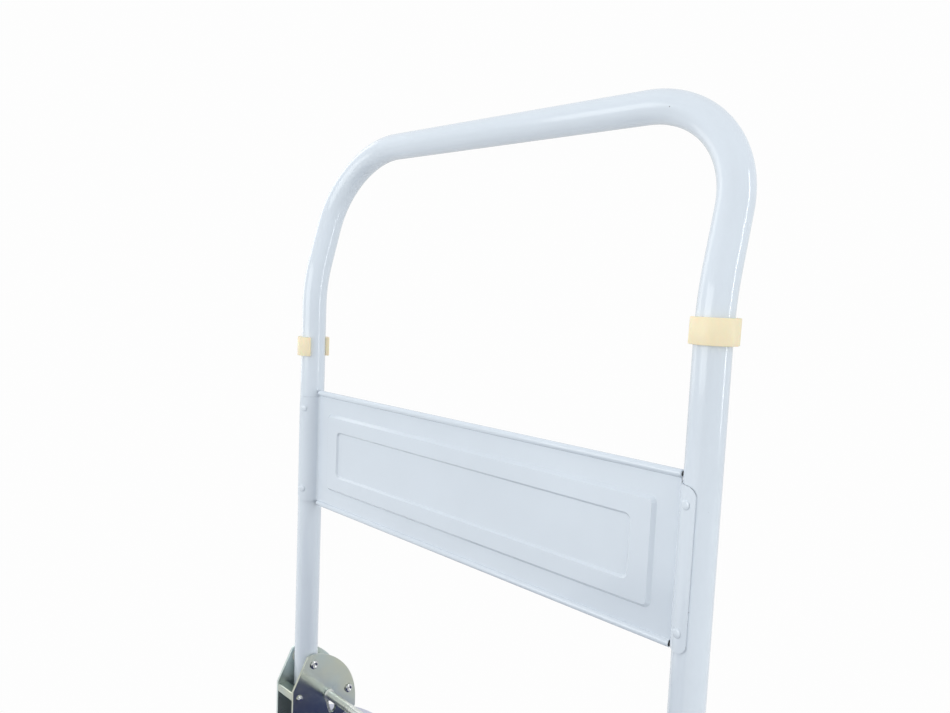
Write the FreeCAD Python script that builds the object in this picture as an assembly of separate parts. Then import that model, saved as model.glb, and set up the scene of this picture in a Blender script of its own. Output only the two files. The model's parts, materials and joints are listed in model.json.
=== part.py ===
"""Platform trolley with a folding push handle, stair-climbing star wheels and swivel casters.

Frame: +Z up, X across the deck, the handle stands at the +Y end, the deck reaches towards -Y.
Origin: on the floor under the middle of the trolley.  Units: millimetres.
Heights named ABOVE_DECK are measured from the deck's working surface, depths named BEHIND_LEG
from the axis of the upright legs towards the user.
"""
import math
import os

import FreeCAD
import Part

V = FreeCAD.Vector
X_AXIS = V(1, 0, 0)
Y_AXIS = V(0, 1, 0)
Z_AXIS = V(0, 0, 1)

# ---------------------------------------------------------------- driving dimensions: whole trolley
DECK_LENGTH = 915.0
DECK_WIDTH = 610.0
DECK_TOP = 215.0                 # working surface above the floor
DECK_CORNER_R = 84.0
REAR_OVERHANG = 92.4             # leg axis to the rear edge of the bumper
LEG_Y = DECK_LENGTH / 2 - REAR_OVERHANG

# ---------------------------------------------------------------- handle
TUBE_R = 14.0
TUBE_WALL = 2.0
LEG_X = 252.8                    # trolley centre to leg axis
PIVOT_ABOVE_DECK = 95.0
LEG_END_ABOVE_DECK = 54.0
KINK_ABOVE_DECK = 560.0
KINK_ANGLE = math.radians(15.0)
KINK_BEND_R = 199.0
CRANK_LENGTH = 162.0             # kink to top bar, along the crank
TOP_BEND_R = 92.0
CLIP_WALL = 4.5
CLIP_HALF_OPENING = 45.0
LEFT_CLIP = (474.5, 22.0)        # bottom above deck, height
RIGHT_CLIP = (529.0, 20.0)
PLUG_FLANGE = 2.0
PLUG_DEPTH = 18.0
FIT = 0.05                       # radial clearance of a running fit

# ---------------------------------------------------------------- brace panel between the legs
PANEL_T = 1.2
PANEL_BOTTOM = 295.0             # above deck, underside of the lower rolled edge
PANEL_TOP = 434.0
ROLL_R = 3.25
ROLL_HALF_LENGTH = 236.5
STEP_HALF_WIDTH = 217.0          # raised step
STEP_BOTTOM = 319.0
STEP_TOP = 409.0
STEP_HEIGHT = 3.0
PAN_HALF_WIDTH = 196.5           # recessed pan inside the step
PAN_BOTTOM = 337.0
PAN_TOP = 391.0
PAN_DEPTH = 2.0
TAB_BOTTOM = 300.0
TAB_TOP = 426.0
TAB_WRAP = 102.0                 # degrees round the leg, from its inner side
TAB_GAP = 0.05
TAB_T = 1.3
TAB_CORNER_R = 8.0
RIVET_WRAP = 71.0
RIVET_HEIGHTS = (315.0, 412.0)
RIVET_R = 3.8
RIVET_SHANK_R = 2.0

# ---------------------------------------------------------------- hinge bracket, one at each leg
CHEEK_T = 3.0
CHEEK_GAP = 15.3                 # leg axis to a cheek's inner face
CHEEK_FRONT = -29.0
CHEEK_KNEE = 70.0
CHEEK_SLANT = V(0, 20.0, 37.0)
CHEEK_ARC_Y = -16.5
CHEEK_ARC_Z = 28.8
CHEEK_ARC_R = 80.6
CHEEK_TAIL_Z = 15.4
CHEEK_FOOT_REAR = 42.0
FOOT_DROP = -3.0                 # the feet stand on the deck plate, below the bumper lip
INNER_FOOT_WIDTH = 24.5
OUTER_FOOT_WIDTH = 14.4
OUTER_FOOT_REAR = 18.0
PIN_R = 4.0
HEAD_R = 5.5
HEAD_H = 2.6
SPACER_AT = (52.9, 46.0)         # behind leg, above deck
SPACER_R = 5.0
SPACER_SHANK_R = 3.0
STOP_AT = (-20.1, 58.5)
STOP_PIN_R = 3.0
STOP_BUSH_R = 6.0
STRAP_TOP = 67.0
STRAP_BOTTOM = 58.0
STRAP_REAR = -17.0
STRAP_T = 2.4
BUSH_R = 6.0
BUSH_FLANGE_R = 9.0

# ---------------------------------------------------------------- release bar and its slot
BAR_R = 5.2
SLOT_R = 5.65
SLOT_TOP = V(0, 21.3, 51.2)
SLOT_BOTTOM = V(0, 28.0, 28.5)
BAR_REST_DROP = 2.0              # the bar rests this far below the slot's upper end
BAR_OVERHANG = 5.5
COLLAR_R = 7.0
COLLAR_T = 2.4
COLLAR_GAP = 0.4
SPRING_COIL_R = 5.2
SPRING_WIRE_R = 0.9
SPRING_TURNS = 8
SPRING_LENGTH = 41.0
SEAT_R = 7.5

# ---------------------------------------------------------------- deck
PLATE_INSET = 8.0
PLATE_T = 2.0
LIP_T = 3.0
LIP_WIDTH = 18.0
SKIRT_DEPTH = 32.0
BUMPER_HEIGHT = 39.0
BUMPER_ROUND = 4.5
MAT_T = 2.5
MAT_GAP = 2.0
MAT_REAR_STOP = -45.0            # behind leg: the mat ends in front of the hinge brackets
CHANNEL_HEIGHT = 20.0
CHANNEL_WIDTH = 110.0
CHANNEL_T = 2.5
RAIL_WIDTH = 50.0
RAIL_X = 140.0
FRONT_CHANNEL_HALF = 285.0
REAR_CHANNEL_HALF = 238.0

# ---------------------------------------------------------------- star-wheel sets at the handle end
STAR_Y = 315.0
STAR_X = 264.0
STAR_ARM = 70.0
STAR_WHEEL_R = 50.0
STAR_WHEEL_WIDTH = 30.0
STAR_GAP = 34.0                  # between the two plates of a set
STAR_PLATE_T = 3.0
STAR_ARM_R = 15.0
STAR_BOLT_R = 5.0
STAR_HUB_R = 18.0
RIM_RECESS = 9.5                 # from a rim's edge down to its web
AXLE_R = 10.0
AXLE_HALF_LENGTH = 292.0
AXLE_Z = STAR_WHEEL_R + STAR_ARM / 2
HANGER_X = 235.0
HANGER_T = 6.0

# ---------------------------------------------------------------- swivel casters at the front
CASTER_X = 180.0
CASTER_Y = -325.0
CASTER_TRAIL = 45.0
CASTER_WHEEL_R = 75.0
CASTER_WHEEL_WIDTH = 38.0
CASTER_PLATE_T = 6.0
FORK_HALF_GAP = 21.0
FORK_T = 4.0
CROWN_Z = 160.0
RACE_Z = 172.0
CASTER_AXLE_R = 6.0
CASTER_BOLT_X = 42.0
CASTER_BOLT_Y = 34.0

PLATE_TOP = DECK_TOP - LIP_T
PLATE_UNDERSIDE = PLATE_TOP - PLATE_T
CHANNEL_BOTTOM = PLATE_UNDERSIDE - CHANNEL_HEIGHT
CHEEK_OUT = CHEEK_GAP + CHEEK_T
SLOT_RUN = (SLOT_BOTTOM - SLOT_TOP).normalize()
BAR_REST = SLOT_TOP + SLOT_RUN * BAR_REST_DROP


# ---------------------------------------------------------------- helpers
def at_leg(x, behind, above):
    """A point from its place beside the right leg: x from the trolley's centre."""
    return V(x, LEG_Y + behind, DECK_TOP + above)


def block(x0, x1, y0, y1, z0, z1):
    return Part.makeBox(x1 - x0, y1 - y0, z1 - z0, V(x0, y0, z0))


def rod(start, end, radius):
    run = end - start
    return Part.makeCylinder(radius, run.Length, start, run)


def rod_x(x0, x1, y, z, radius):
    return rod(V(x0, y, z), V(x1, y, z), radius)


def ring_x(x0, x1, y, z, outer_r, inner_r):
    return rod_x(x0, x1, y, z, outer_r).cut(rod_x(x0 - 1, x1 + 1, y, z, inner_r))


def other_side(shape):
    """The same piece on the -X side of the trolley."""
    return shape.mirror(V(0, 0, 0), X_AXIS)


def pair(shape):
    return Part.makeCompound([shape, other_side(shape)])


def group(shapes):
    return Part.makeCompound(list(shapes))


def rounded_slab(half_x, y0, y1, corner_r, z0, z1, rear_r=None):
    """An upright slab whose plan is a rectangle with rounded corners."""
    slab = block(-half_x, half_x, y0, y1, z0, z1)
    rear_r = corner_r if rear_r is None else rear_r
    front = [edge for edge in slab.Edges if is_upright(edge) and edge.CenterOfMass.y < (y0 + y1) / 2]
    slab = slab.makeFillet(corner_r, front)
    rear = [edge for edge in slab.Edges if is_upright(edge) and abs(edge.CenterOfMass.y - y1) < 0.01
            and abs(abs(edge.CenterOfMass.x) - half_x) < 0.01]
    return slab.makeFillet(rear_r, rear)


def is_upright(edge):
    return edge.Curve.TypeId == "Part::GeomLine" and abs(edge.tangentAt(edge.FirstParameter).z) > 0.999


def edges_along(shape, axis, points, tolerance=0.05):
    """The straight edges that run along an axis through any of the given points."""
    found = []
    for edge in shape.Edges:
        if edge.Curve.TypeId != "Part::GeomLine":
            continue
        if abs(edge.tangentAt(edge.FirstParameter).dot(axis)) < 0.999:
            continue
        middle = edge.CenterOfMass
        for point in points:
            gap = point - middle
            across = gap - axis * gap.dot(axis)
            if across.Length < tolerance:
                found.append(edge)
    return found


def bent_path(points, radii):
    """A wire of straight runs joined by tangent arcs, one radius for each inner point."""
    edges = []
    start = points[0]
    for before, corner, after, radius in zip(points, points[1:], points[2:], radii):
        inward = (before - corner).normalize()
        outward = (after - corner).normalize()
        half = inward.getAngle(outward) / 2
        reach = radius / math.tan(half)
        bisector = (inward + outward).normalize()
        arc_start = corner + inward * reach
        arc_end = corner + outward * reach
        arc_middle = corner + bisector * (radius / math.sin(half) - radius)
        edges.append(Part.LineSegment(start, arc_start).toShape())
        edges.append(Part.Arc(arc_start, arc_middle, arc_end).toShape())
        start = arc_end
    edges.append(Part.LineSegment(start, points[-1]).toShape())
    return Part.Wire(edges)


def swept_rod(path, radius):
    first = path.Edges[0]
    start = first.valueAt(first.FirstParameter)
    circle = Part.Wire([Part.Circle(start, first.tangentAt(first.FirstParameter), radius).toShape()])
    return path.makePipeShell([circle], True, True)


def revolved_x(profile, x, y, z):
    """A solid turned about an X-wise axis from (offset along X, radius) corners."""
    corners = [V(x + offset, y, z + radius) for offset, radius in profile]
    outline = Part.Face(Part.makePolygon(corners + [corners[0]]))
    return outline.revolve(V(x, y, z), X_AXIS, 360)


def hexagon(centre, across_flats, height):
    radius = across_flats / math.sqrt(3)
    corners = [centre + V(radius * math.cos(math.radians(a)), radius * math.sin(math.radians(a)), 0)
               for a in range(0, 361, 60)]
    return Part.Face(Part.makePolygon(corners)).extrude(Z_AXIS * height)


# ---------------------------------------------------------------- handle
def handle_path():
    up = V(0, math.sin(KINK_ANGLE), math.cos(KINK_ANGLE))
    corners = []
    radii = []
    for side in (1, -1):
        foot = at_leg(side * LEG_X, 0, LEG_END_ABOVE_DECK + PLUG_FLANGE)
        kink = at_leg(side * LEG_X, 0, KINK_ABOVE_DECK)
        top = kink + up * CRANK_LENGTH
        corners.append([foot, kink, top])
        radii.append([KINK_BEND_R, TOP_BEND_R])
    return bent_path(corners[0] + corners[1][::-1], radii[0] + radii[1][::-1])


def rivet_shanks():
    shanks = []
    for height in RIVET_HEIGHTS:
        centre = at_leg(LEG_X, 0, height)
        shank = rod(centre + rivet_direction() * (TUBE_R - TUBE_WALL - 1),
                    centre + rivet_direction() * (TUBE_R + TAB_T + 0.5), RIVET_SHANK_R)
        shanks.append(shank)
        shanks.append(other_side(shank))
    return shanks


def rivet_direction():
    """Outwards from the right leg, turned from its inner side towards the deck."""
    angle = math.radians(180 + RIVET_WRAP)
    return V(math.cos(angle), math.sin(angle), 0)


def handle_tube(outer):
    tube = outer.cut(swept_rod(handle_path(), TUBE_R - TUBE_WALL))
    bush_hole = rod(at_leg(LEG_X - 20, 0, PIVOT_ABOVE_DECK), at_leg(LEG_X + 20, 0, PIVOT_ABOVE_DECK), BUSH_R)
    return tube.cut([bush_hole, other_side(bush_hole)] + rivet_shanks())


def deck_clip(outer, side, place):
    """An open plastic ring on a leg, its mouth towards the trolley's centre."""
    bottom, height = place
    base = at_leg(side * LEG_X, 0, bottom)
    covered = 360 - 2 * CLIP_HALF_OPENING
    ring = Part.makeCylinder(TUBE_R + CLIP_WALL, height, base, Z_AXIS, covered)
    mouth_towards = 180 if side > 0 else 0
    ring.rotate(base, Z_AXIS, mouth_towards + CLIP_HALF_OPENING)
    core = Part.makeCylinder(TUBE_R, height, base, Z_AXIS)
    return ring.cut([core, outer])


def leg_plug():
    """The plastic end piece in the foot of the right leg."""
    bottom = at_leg(LEG_X, 0, LEG_END_ABOVE_DECK)
    flange = Part.makeCylinder(TUBE_R, PLUG_FLANGE, bottom, Z_AXIS)
    body = Part.makeCylinder(TUBE_R - TUBE_WALL, PLUG_DEPTH, bottom + V(0, 0, PLUG_FLANGE), Z_AXIS)
    hollow = Part.makeCylinder(TUBE_R - 2 * TUBE_WALL, PLUG_DEPTH, bottom + V(0, 0, 2 * PLUG_FLANGE), Z_AXIS)
    return flange.fuse(body).removeSplitter().cut(hollow)


def pivot_bush():
    """The flanged sleeve that turns on the pivot pin, across the right leg."""
    y = LEG_Y
    z = DECK_TOP + PIVOT_ABOVE_DECK
    reach = CHEEK_GAP - 0.1
    flange = reach - TUBE_R - FIT
    profile = [(-reach, PIN_R + FIT), (-reach, BUSH_FLANGE_R), (-reach + flange, BUSH_FLANGE_R),
               (-reach + flange, BUSH_R), (reach - flange, BUSH_R), (reach - flange, BUSH_FLANGE_R),
               (reach, BUSH_FLANGE_R), (reach, PIN_R + FIT)]
    return revolved_x(profile, LEG_X, y, z)


# ---------------------------------------------------------------- brace panel
def panel_frustum(half_x, bottom, top, y_wide, y_narrow, inset):
    """A rounded rectangular pad that narrows by the inset from one depth to the other."""
    wires = []
    for depth, shrink in ((y_wide, 0.0), (y_narrow, inset)):
        corner_r = 7.0 - shrink
        x = half_x - shrink
        z0 = bottom + shrink
        z1 = top - shrink
        corners = [at_leg(0, depth, z0), at_leg(x, depth, z0), at_leg(x, depth, z1),
                   at_leg(-x, depth, z1), at_leg(-x, depth, z0), at_leg(0, depth, z0)]
        wires.append(bent_path(corners, [corner_r] * 4))
    return Part.makeLoft(wires, True, True)


def panel_tab():
    """The ear that wraps the front of the right leg, with rounded free corners."""
    base = at_leg(LEG_X, 0, TAB_BOTTOM)
    height = TAB_TOP - TAB_BOTTOM
    inner_r = TUBE_R + TAB_GAP
    tab = Part.makeCylinder(inner_r + TAB_T, height, base, Z_AXIS, TAB_WRAP)
    tab = tab.cut(Part.makeCylinder(inner_r, height, base, Z_AXIS))
    tab.rotate(base, Z_AXIS, 180)
    free_x = LEG_X - (inner_r + TAB_T) * math.cos(math.radians(TAB_WRAP))
    cuts = []
    for corner_z, inward in ((TAB_BOTTOM, 1), (TAB_TOP, -1)):
        centre = at_leg(free_x - TAB_CORNER_R, -30, corner_z + inward * TAB_CORNER_R)
        edge_z = DECK_TOP + corner_z - inward
        notch = block(centre.x, free_x + 1, centre.y, centre.y + 30, min(edge_z, centre.z), max(edge_z, centre.z))
        cuts.append(notch.cut(rod(centre - Y_AXIS, centre + Y_AXIS * 31, TAB_CORNER_R)))
    return tab.cut(cuts)


def brace_panel():
    half_t = PANEL_T / 2
    reach = LEG_X - TUBE_R - TAB_GAP
    roll_low = PANEL_BOTTOM + ROLL_R
    roll_high = PANEL_TOP - ROLL_R
    sheet = block(-ROLL_HALF_LENGTH, ROLL_HALF_LENGTH, LEG_Y - half_t, LEG_Y + half_t,
                  DECK_TOP + roll_low, DECK_TOP + roll_high)
    ends = block(-reach, reach, LEG_Y - half_t, LEG_Y + half_t, DECK_TOP + TAB_BOTTOM, DECK_TOP + TAB_TOP)
    step_face = -half_t - STEP_HEIGHT
    step_back = half_t - STEP_HEIGHT
    sheet = sheet.fuse([ends, panel_frustum(STEP_HALF_WIDTH, STEP_BOTTOM, STEP_TOP, -half_t, step_face,
                                            STEP_HEIGHT)])
    sheet = sheet.cut(panel_frustum(STEP_HALF_WIDTH, STEP_BOTTOM, STEP_TOP, half_t, step_back, STEP_HEIGHT))
    sheet = sheet.fuse(panel_frustum(PAN_HALF_WIDTH, PAN_BOTTOM, PAN_TOP, step_back, step_back + PAN_DEPTH,
                                     PAN_DEPTH))
    sheet = sheet.cut(panel_frustum(PAN_HALF_WIDTH, PAN_BOTTOM, PAN_TOP, step_face, step_face + PAN_DEPTH,
                                    PAN_DEPTH))
    tab = panel_tab()
    sheet = sheet.fuse([tab, other_side(tab)])
    bores = []
    for height in (roll_low, roll_high):
        start = at_leg(-ROLL_HALF_LENGTH, 0, height)
        end = at_leg(ROLL_HALF_LENGTH, 0, height)
        sheet = sheet.fuse(rod(start, end, ROLL_R))
        bores.append(rod(start - X_AXIS, end + X_AXIS, ROLL_R - PANEL_T))
    return sheet.cut(bores + rivet_shanks())


def panel_rivet(height):
    """A domed rivet that holds the right tab to its leg."""
    centre = at_leg(LEG_X, 0, height)
    direction = rivet_direction()
    tab_face = TUBE_R + TAB_GAP + TAB_T
    shank = rod(centre + direction * (TUBE_R - TUBE_WALL), centre + direction * (tab_face + 0.2), RIVET_SHANK_R)
    dome_r = 7.0
    ball = Part.makeSphere(dome_r, centre + direction * (tab_face + 1.2 - dome_r))
    column = rod(centre + direction * (tab_face - 1.5), centre + direction * (tab_face + 2.0), RIVET_R)
    head = ball.common(column)
    head = head.cut(Part.makeCylinder(tab_face, 4 * RIVET_R, centre - V(0, 0, 2 * RIVET_R), Z_AXIS))
    return head.fuse(shank).removeSplitter()


# ---------------------------------------------------------------- hinge brackets
def cheek_plate(x):
    """A cheek's upright plate from x to x + CHEEK_T, before its foot is added."""
    arc_centre = V(x, CHEEK_ARC_Y, CHEEK_ARC_Z)
    knee = V(x, CHEEK_FRONT, CHEEK_KNEE)
    slant = V(CHEEK_SLANT).normalize()
    offset = knee - arc_centre
    along = offset.dot(slant)
    reach = -along + math.sqrt(along * along - offset.dot(offset) + CHEEK_ARC_R ** 2)
    peak = knee + slant * reach
    tail_top = arc_centre + Y_AXIS * CHEEK_ARC_R
    shoulder = arc_centre + (peak - arc_centre + tail_top - arc_centre).normalize() * CHEEK_ARC_R
    tail_low = V(x, tail_top.y, CHEEK_TAIL_Z)
    step = V(x, CHEEK_FOOT_REAR, CHEEK_TAIL_Z)
    foot_rear = V(x, CHEEK_FOOT_REAR, FOOT_DROP)
    foot_front = V(x, CHEEK_FRONT, FOOT_DROP)
    outline = [Part.LineSegment(foot_front, knee), Part.LineSegment(knee, peak), Part.Arc(peak, shoulder, tail_top),
               Part.LineSegment(tail_top, tail_low), Part.LineSegment(tail_low, step),
               Part.LineSegment(step, foot_rear), Part.LineSegment(foot_rear, foot_front)]
    plate = Part.Face(Part.Wire([line.toShape() for line in outline])).extrude(X_AXIS * CHEEK_T)
    plate = plate.makeFillet(7.0, edges_along(plate, X_AXIS, [peak]))
    plate = plate.makeFillet(5.0, edges_along(plate, X_AXIS, [tail_low, step]))
    plate.translate(V(0, LEG_Y, DECK_TOP))
    return plate


def cheek(outward):
    """The right bracket's outer cheek (outward = 1) or inner cheek (outward = -1)."""
    inner_face = LEG_X + outward * CHEEK_GAP
    outer_face = LEG_X + outward * CHEEK_OUT
    plate = cheek_plate(min(inner_face, outer_face))
    foot_width = OUTER_FOOT_WIDTH if outward > 0 else INNER_FOOT_WIDTH
    foot_rear = OUTER_FOOT_REAR if outward > 0 else CHEEK_FOOT_REAR
    foot_end = outer_face + outward * foot_width
    foot = block(min(inner_face, foot_end), max(inner_face, foot_end), LEG_Y + CHEEK_FRONT, LEG_Y + foot_rear,
                 DECK_TOP + FOOT_DROP, DECK_TOP + FOOT_DROP + CHEEK_T)
    body = plate.fuse(foot).removeSplitter()
    body = body.makeFillet(4.0, edges_along(body, Z_AXIS, [V(foot_end, LEG_Y + CHEEK_FRONT, 0),
                                                           V(foot_end, LEG_Y + foot_rear, 0)]))
    cuts = [slot_cut()]
    for place, radius in (((0, PIVOT_ABOVE_DECK), PIN_R), (SPACER_AT, SPACER_SHANK_R), (STOP_AT, STOP_PIN_R)):
        cuts.append(rod(at_leg(inner_face - 10, *place), at_leg(inner_face + 10, *place), radius))
    for point in bolt_places():
        cuts.append(rod(point + Z_AXIS * (FOOT_DROP - 1), point + Z_AXIS * 5, 3.2))
    return body.cut(cuts)


def slot_cut():
    """The obround that the release bar runs down, through both cheeks of the right bracket."""
    low = at_leg(LEG_X - 25, SLOT_BOTTOM.y, SLOT_BOTTOM.z)
    high = at_leg(LEG_X - 25, SLOT_TOP.y, SLOT_TOP.z)
    across = X_AXIS.cross(SLOT_RUN) * SLOT_R
    corners = [low - across, high - across, high + across, low + across, low - across]
    middle = Part.Face(Part.makePolygon(corners)).extrude(X_AXIS * 50)
    ends = [rod(point, point + X_AXIS * 50, SLOT_R) for point in (low, high)]
    return middle.fuse(ends)


def bolt_places():
    """Where the right bracket's four bolts go through its feet, at deck height."""
    inner_x = LEG_X - CHEEK_OUT - INNER_FOOT_WIDTH / 2 - 1
    outer_x = LEG_X + CHEEK_OUT + OUTER_FOOT_WIDTH / 2 + 0.4
    return [at_leg(inner_x, -18, 0), at_leg(inner_x, 30, 0), at_leg(outer_x, -20, 0), at_leg(outer_x, 8, 0)]


def bracket_bolt(point):
    """Hex bolt, washer and nut through a foot and the deck plate."""
    seat = point.z + FOOT_DROP + CHEEK_T
    washer = Part.makeCylinder(6.0, 1.2, V(point.x, point.y, seat), Z_AXIS)
    head = hexagon(V(point.x, point.y, seat + 1.2), 10.0, 4.0)
    shank = Part.makeCylinder(3.0, seat - PLATE_UNDERSIDE + 7.0, V(point.x, point.y, PLATE_UNDERSIDE - 7.0), Z_AXIS)
    nut = hexagon(V(point.x, point.y, PLATE_UNDERSIDE - 5.0), 10.0, 5.0)
    return washer.fuse([head, shank, nut]).removeSplitter()


def rivet_profile(shank_r, spacer_r):
    """Half section of a headed pin through both cheeks; the spacer part fills the gap between them."""
    head_end = CHEEK_OUT + HEAD_H
    half = [(0, spacer_r), (CHEEK_GAP, spacer_r), (CHEEK_GAP, shank_r), (CHEEK_OUT, shank_r),
            (CHEEK_OUT, HEAD_R), (head_end - 1.2, HEAD_R), (head_end, HEAD_R - 1.4),
            (head_end, 2.6), (head_end - 1.1, 1.2), (head_end - 1.1, 0)]
    return [(-offset, radius) for offset, radius in half[::-1]] + half[1:]


def cheek_rivet(place, shank_r, spacer_r):
    corners = at_leg(LEG_X, *place)
    return revolved_x(clean(rivet_profile(shank_r, spacer_r)), LEG_X, corners.y, corners.z)


def clean(profile):
    """Drops corners that repeat the one before them."""
    kept = [profile[0]]
    for corner in profile[1:]:
        if corner != kept[-1]:
            kept.append(corner)
    return kept


def stop_pin():
    """The stepped pin in front of the right leg; its small end stands out of the inner cheek."""
    y = LEG_Y + STOP_AT[0]
    z = DECK_TOP + STOP_AT[1]
    profile = [(-CHEEK_OUT - 3.2, 0), (-CHEEK_OUT - 3.2, 2.6), (-CHEEK_OUT - 1.6, 2.6), (-CHEEK_OUT - 1.6, 4.2),
               (-CHEEK_OUT, 4.2), (-CHEEK_OUT, STOP_PIN_R), (CHEEK_OUT, STOP_PIN_R), (CHEEK_OUT, 4.2),
               (CHEEK_OUT + 2.0, 4.2), (CHEEK_OUT + 2.0, 0)]
    return revolved_x(profile, LEG_X, y, z)


def stop_bush():
    reach = CHEEK_GAP - 0.3
    return ring_x(LEG_X - reach, LEG_X + reach, LEG_Y + STOP_AT[0], DECK_TOP + STOP_AT[1],
                  STOP_BUSH_R, STOP_PIN_R)


def front_strap():
    """The folded strap that ties the right bracket's cheeks in front of the leg."""
    x0 = LEG_X - CHEEK_GAP
    x1 = LEG_X + CHEEK_GAP
    front = LEG_Y + CHEEK_FRONT
    top = DECK_TOP + STRAP_TOP
    lip = block(x0, x1, front, front + STRAP_T, DECK_TOP + STRAP_BOTTOM, top)
    shelf = block(x0, x1, front, LEG_Y + STRAP_REAR, top - STRAP_T, top)
    strap = lip.fuse(shelf).removeSplitter()
    return strap.makeFillet(2.0, edges_along(strap, X_AXIS, [V(0, front, top)]))


# ---------------------------------------------------------------- release bar
def release_bar():
    reach = LEG_X + CHEEK_OUT + BAR_OVERHANG
    bar = rod(at_leg(-reach, BAR_REST.y, BAR_REST.z), at_leg(reach, BAR_REST.y, BAR_REST.z), BAR_R)
    ends = [edge for edge in bar.Edges if edge.Curve.TypeId == "Part::GeomCircle"]
    return bar.makeChamfer(0.8, ends)


def bar_collars():
    """Rings fixed on the bar beside each cheek of the right bracket."""
    rest = at_leg(0, BAR_REST.y, BAR_REST.z)
    inner_end = LEG_X - CHEEK_OUT - COLLAR_GAP
    outer_start = LEG_X + CHEEK_OUT + COLLAR_GAP
    return [ring_x(inner_end - COLLAR_T, inner_end, rest.y, rest.z, COLLAR_R, BAR_R),
            ring_x(outer_start, outer_start + COLLAR_T, rest.y, rest.z, COLLAR_R, BAR_R)]


def bar_spring():
    """Compression spring under the bar, along the slot, in the right bracket."""
    top = at_leg(LEG_X, BAR_REST.y, BAR_REST.z) + SLOT_RUN * (BAR_R + SPRING_WIRE_R + 0.1)
    pitch = (SPRING_LENGTH - 2 * SPRING_WIRE_R) / SPRING_TURNS
    helix = Part.makeHelix(pitch, pitch * SPRING_TURNS, SPRING_COIL_R)
    circle = Part.Wire([Part.Circle(V(SPRING_COIL_R, 0, 0), Y_AXIS, SPRING_WIRE_R).toShape()])
    spring = Part.Wire(helix.Edges).makePipeShell([circle], True, True)
    spring.Placement = FreeCAD.Placement(top, FreeCAD.Rotation(Z_AXIS, SLOT_RUN))
    return spring


def spring_seat():
    """The peg on the deck plate that the right spring stands on."""
    start = at_leg(LEG_X, BAR_REST.y, BAR_REST.z) + SLOT_RUN * (BAR_R + SPRING_LENGTH + 0.3)
    seat = rod(start, start + SLOT_RUN * 20, SEAT_R)
    below = block(LEG_X - 20, LEG_X + 20, start.y - 30, start.y + 40, PLATE_TOP - 40, PLATE_TOP)
    return seat.cut(below)


# ---------------------------------------------------------------- deck
def deck_slab(inset, z0, z1):
    half_length = DECK_LENGTH / 2 - inset
    return rounded_slab(DECK_WIDTH / 2 - inset, -half_length, half_length, DECK_CORNER_R - inset, z0, z1)


def deck_plate():
    """Pressed steel pan: flat top with a turned-down skirt."""
    bottom = PLATE_TOP - SKIRT_DEPTH
    pan = deck_slab(PLATE_INSET, bottom, PLATE_TOP)
    pan = pan.cut(deck_slab(PLATE_INSET + PLATE_T, bottom - 1, PLATE_UNDERSIDE))
    holes = []
    for point in bolt_places():
        hole = Part.makeCylinder(3.2, 20, V(point.x, point.y, PLATE_TOP - 10), Z_AXIS)
        holes += [hole, other_side(hole)]
    return pan.cut(holes)


def deck_mat():
    front = -DECK_LENGTH / 2 + LIP_WIDTH + MAT_GAP
    rear = LEG_Y + MAT_REAR_STOP
    half = DECK_WIDTH / 2 - LIP_WIDTH - MAT_GAP
    return rounded_slab(half, front, rear, DECK_CORNER_R - LIP_WIDTH - MAT_GAP, PLATE_TOP, PLATE_TOP + MAT_T,
                        rear_r=10.0)


def edge_bumper():
    """Plastic edging round the deck: a lip on top, a wall and a hook under the skirt."""
    bottom = DECK_TOP - BUMPER_HEIGHT
    ring = deck_slab(0, bottom, DECK_TOP)
    outline = [edge for edge in ring.Edges if abs(edge.BoundBox.ZLength) < 0.01]
    ring = ring.makeFillet(BUMPER_ROUND, outline)
    ring = ring.cut(deck_slab(PLATE_INSET, PLATE_TOP - SKIRT_DEPTH, PLATE_TOP))
    ring = ring.cut(deck_slab(LIP_WIDTH, bottom - 1, DECK_TOP + 1))
    return ring


def channel_y(x, y0, y1, width):
    """An upward-open channel along Y under the deck plate."""
    outer = block(x - width / 2, x + width / 2, y0, y1, CHANNEL_BOTTOM, PLATE_UNDERSIDE)
    inner = block(x - width / 2 + CHANNEL_T, x + width / 2 - CHANNEL_T, y0 - 1, y1 + 1,
                  CHANNEL_BOTTOM + CHANNEL_T, PLATE_UNDERSIDE + 1)
    return outer.cut(inner)


def channel_x(y, half_length):
    """An upward-open channel across the trolley under the deck plate."""
    half = CHANNEL_WIDTH / 2
    outer = block(-half_length, half_length, y - half, y + half, CHANNEL_BOTTOM, PLATE_UNDERSIDE)
    inner = block(-half_length - 1, half_length + 1, y - half + CHANNEL_T, y + half - CHANNEL_T,
                  CHANNEL_BOTTOM + CHANNEL_T, PLATE_UNDERSIDE + 1)
    return outer.cut(inner)


def front_crossmember():
    channel = channel_x(CASTER_Y, FRONT_CHANNEL_HALF)
    holes = []
    for x, y in caster_bolt_places():
        hole = Part.makeCylinder(4.0, 40, V(x, y, CHANNEL_BOTTOM - 5), Z_AXIS)
        holes += [hole, other_side(hole)]
    return channel.cut(holes)


def rear_crossmember():
    return channel_x(STAR_Y, REAR_CHANNEL_HALF)


def deck_rail():
    return channel_y(RAIL_X, CASTER_Y + CHANNEL_WIDTH / 2, STAR_Y - CHANNEL_WIDTH / 2, RAIL_WIDTH)


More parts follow.
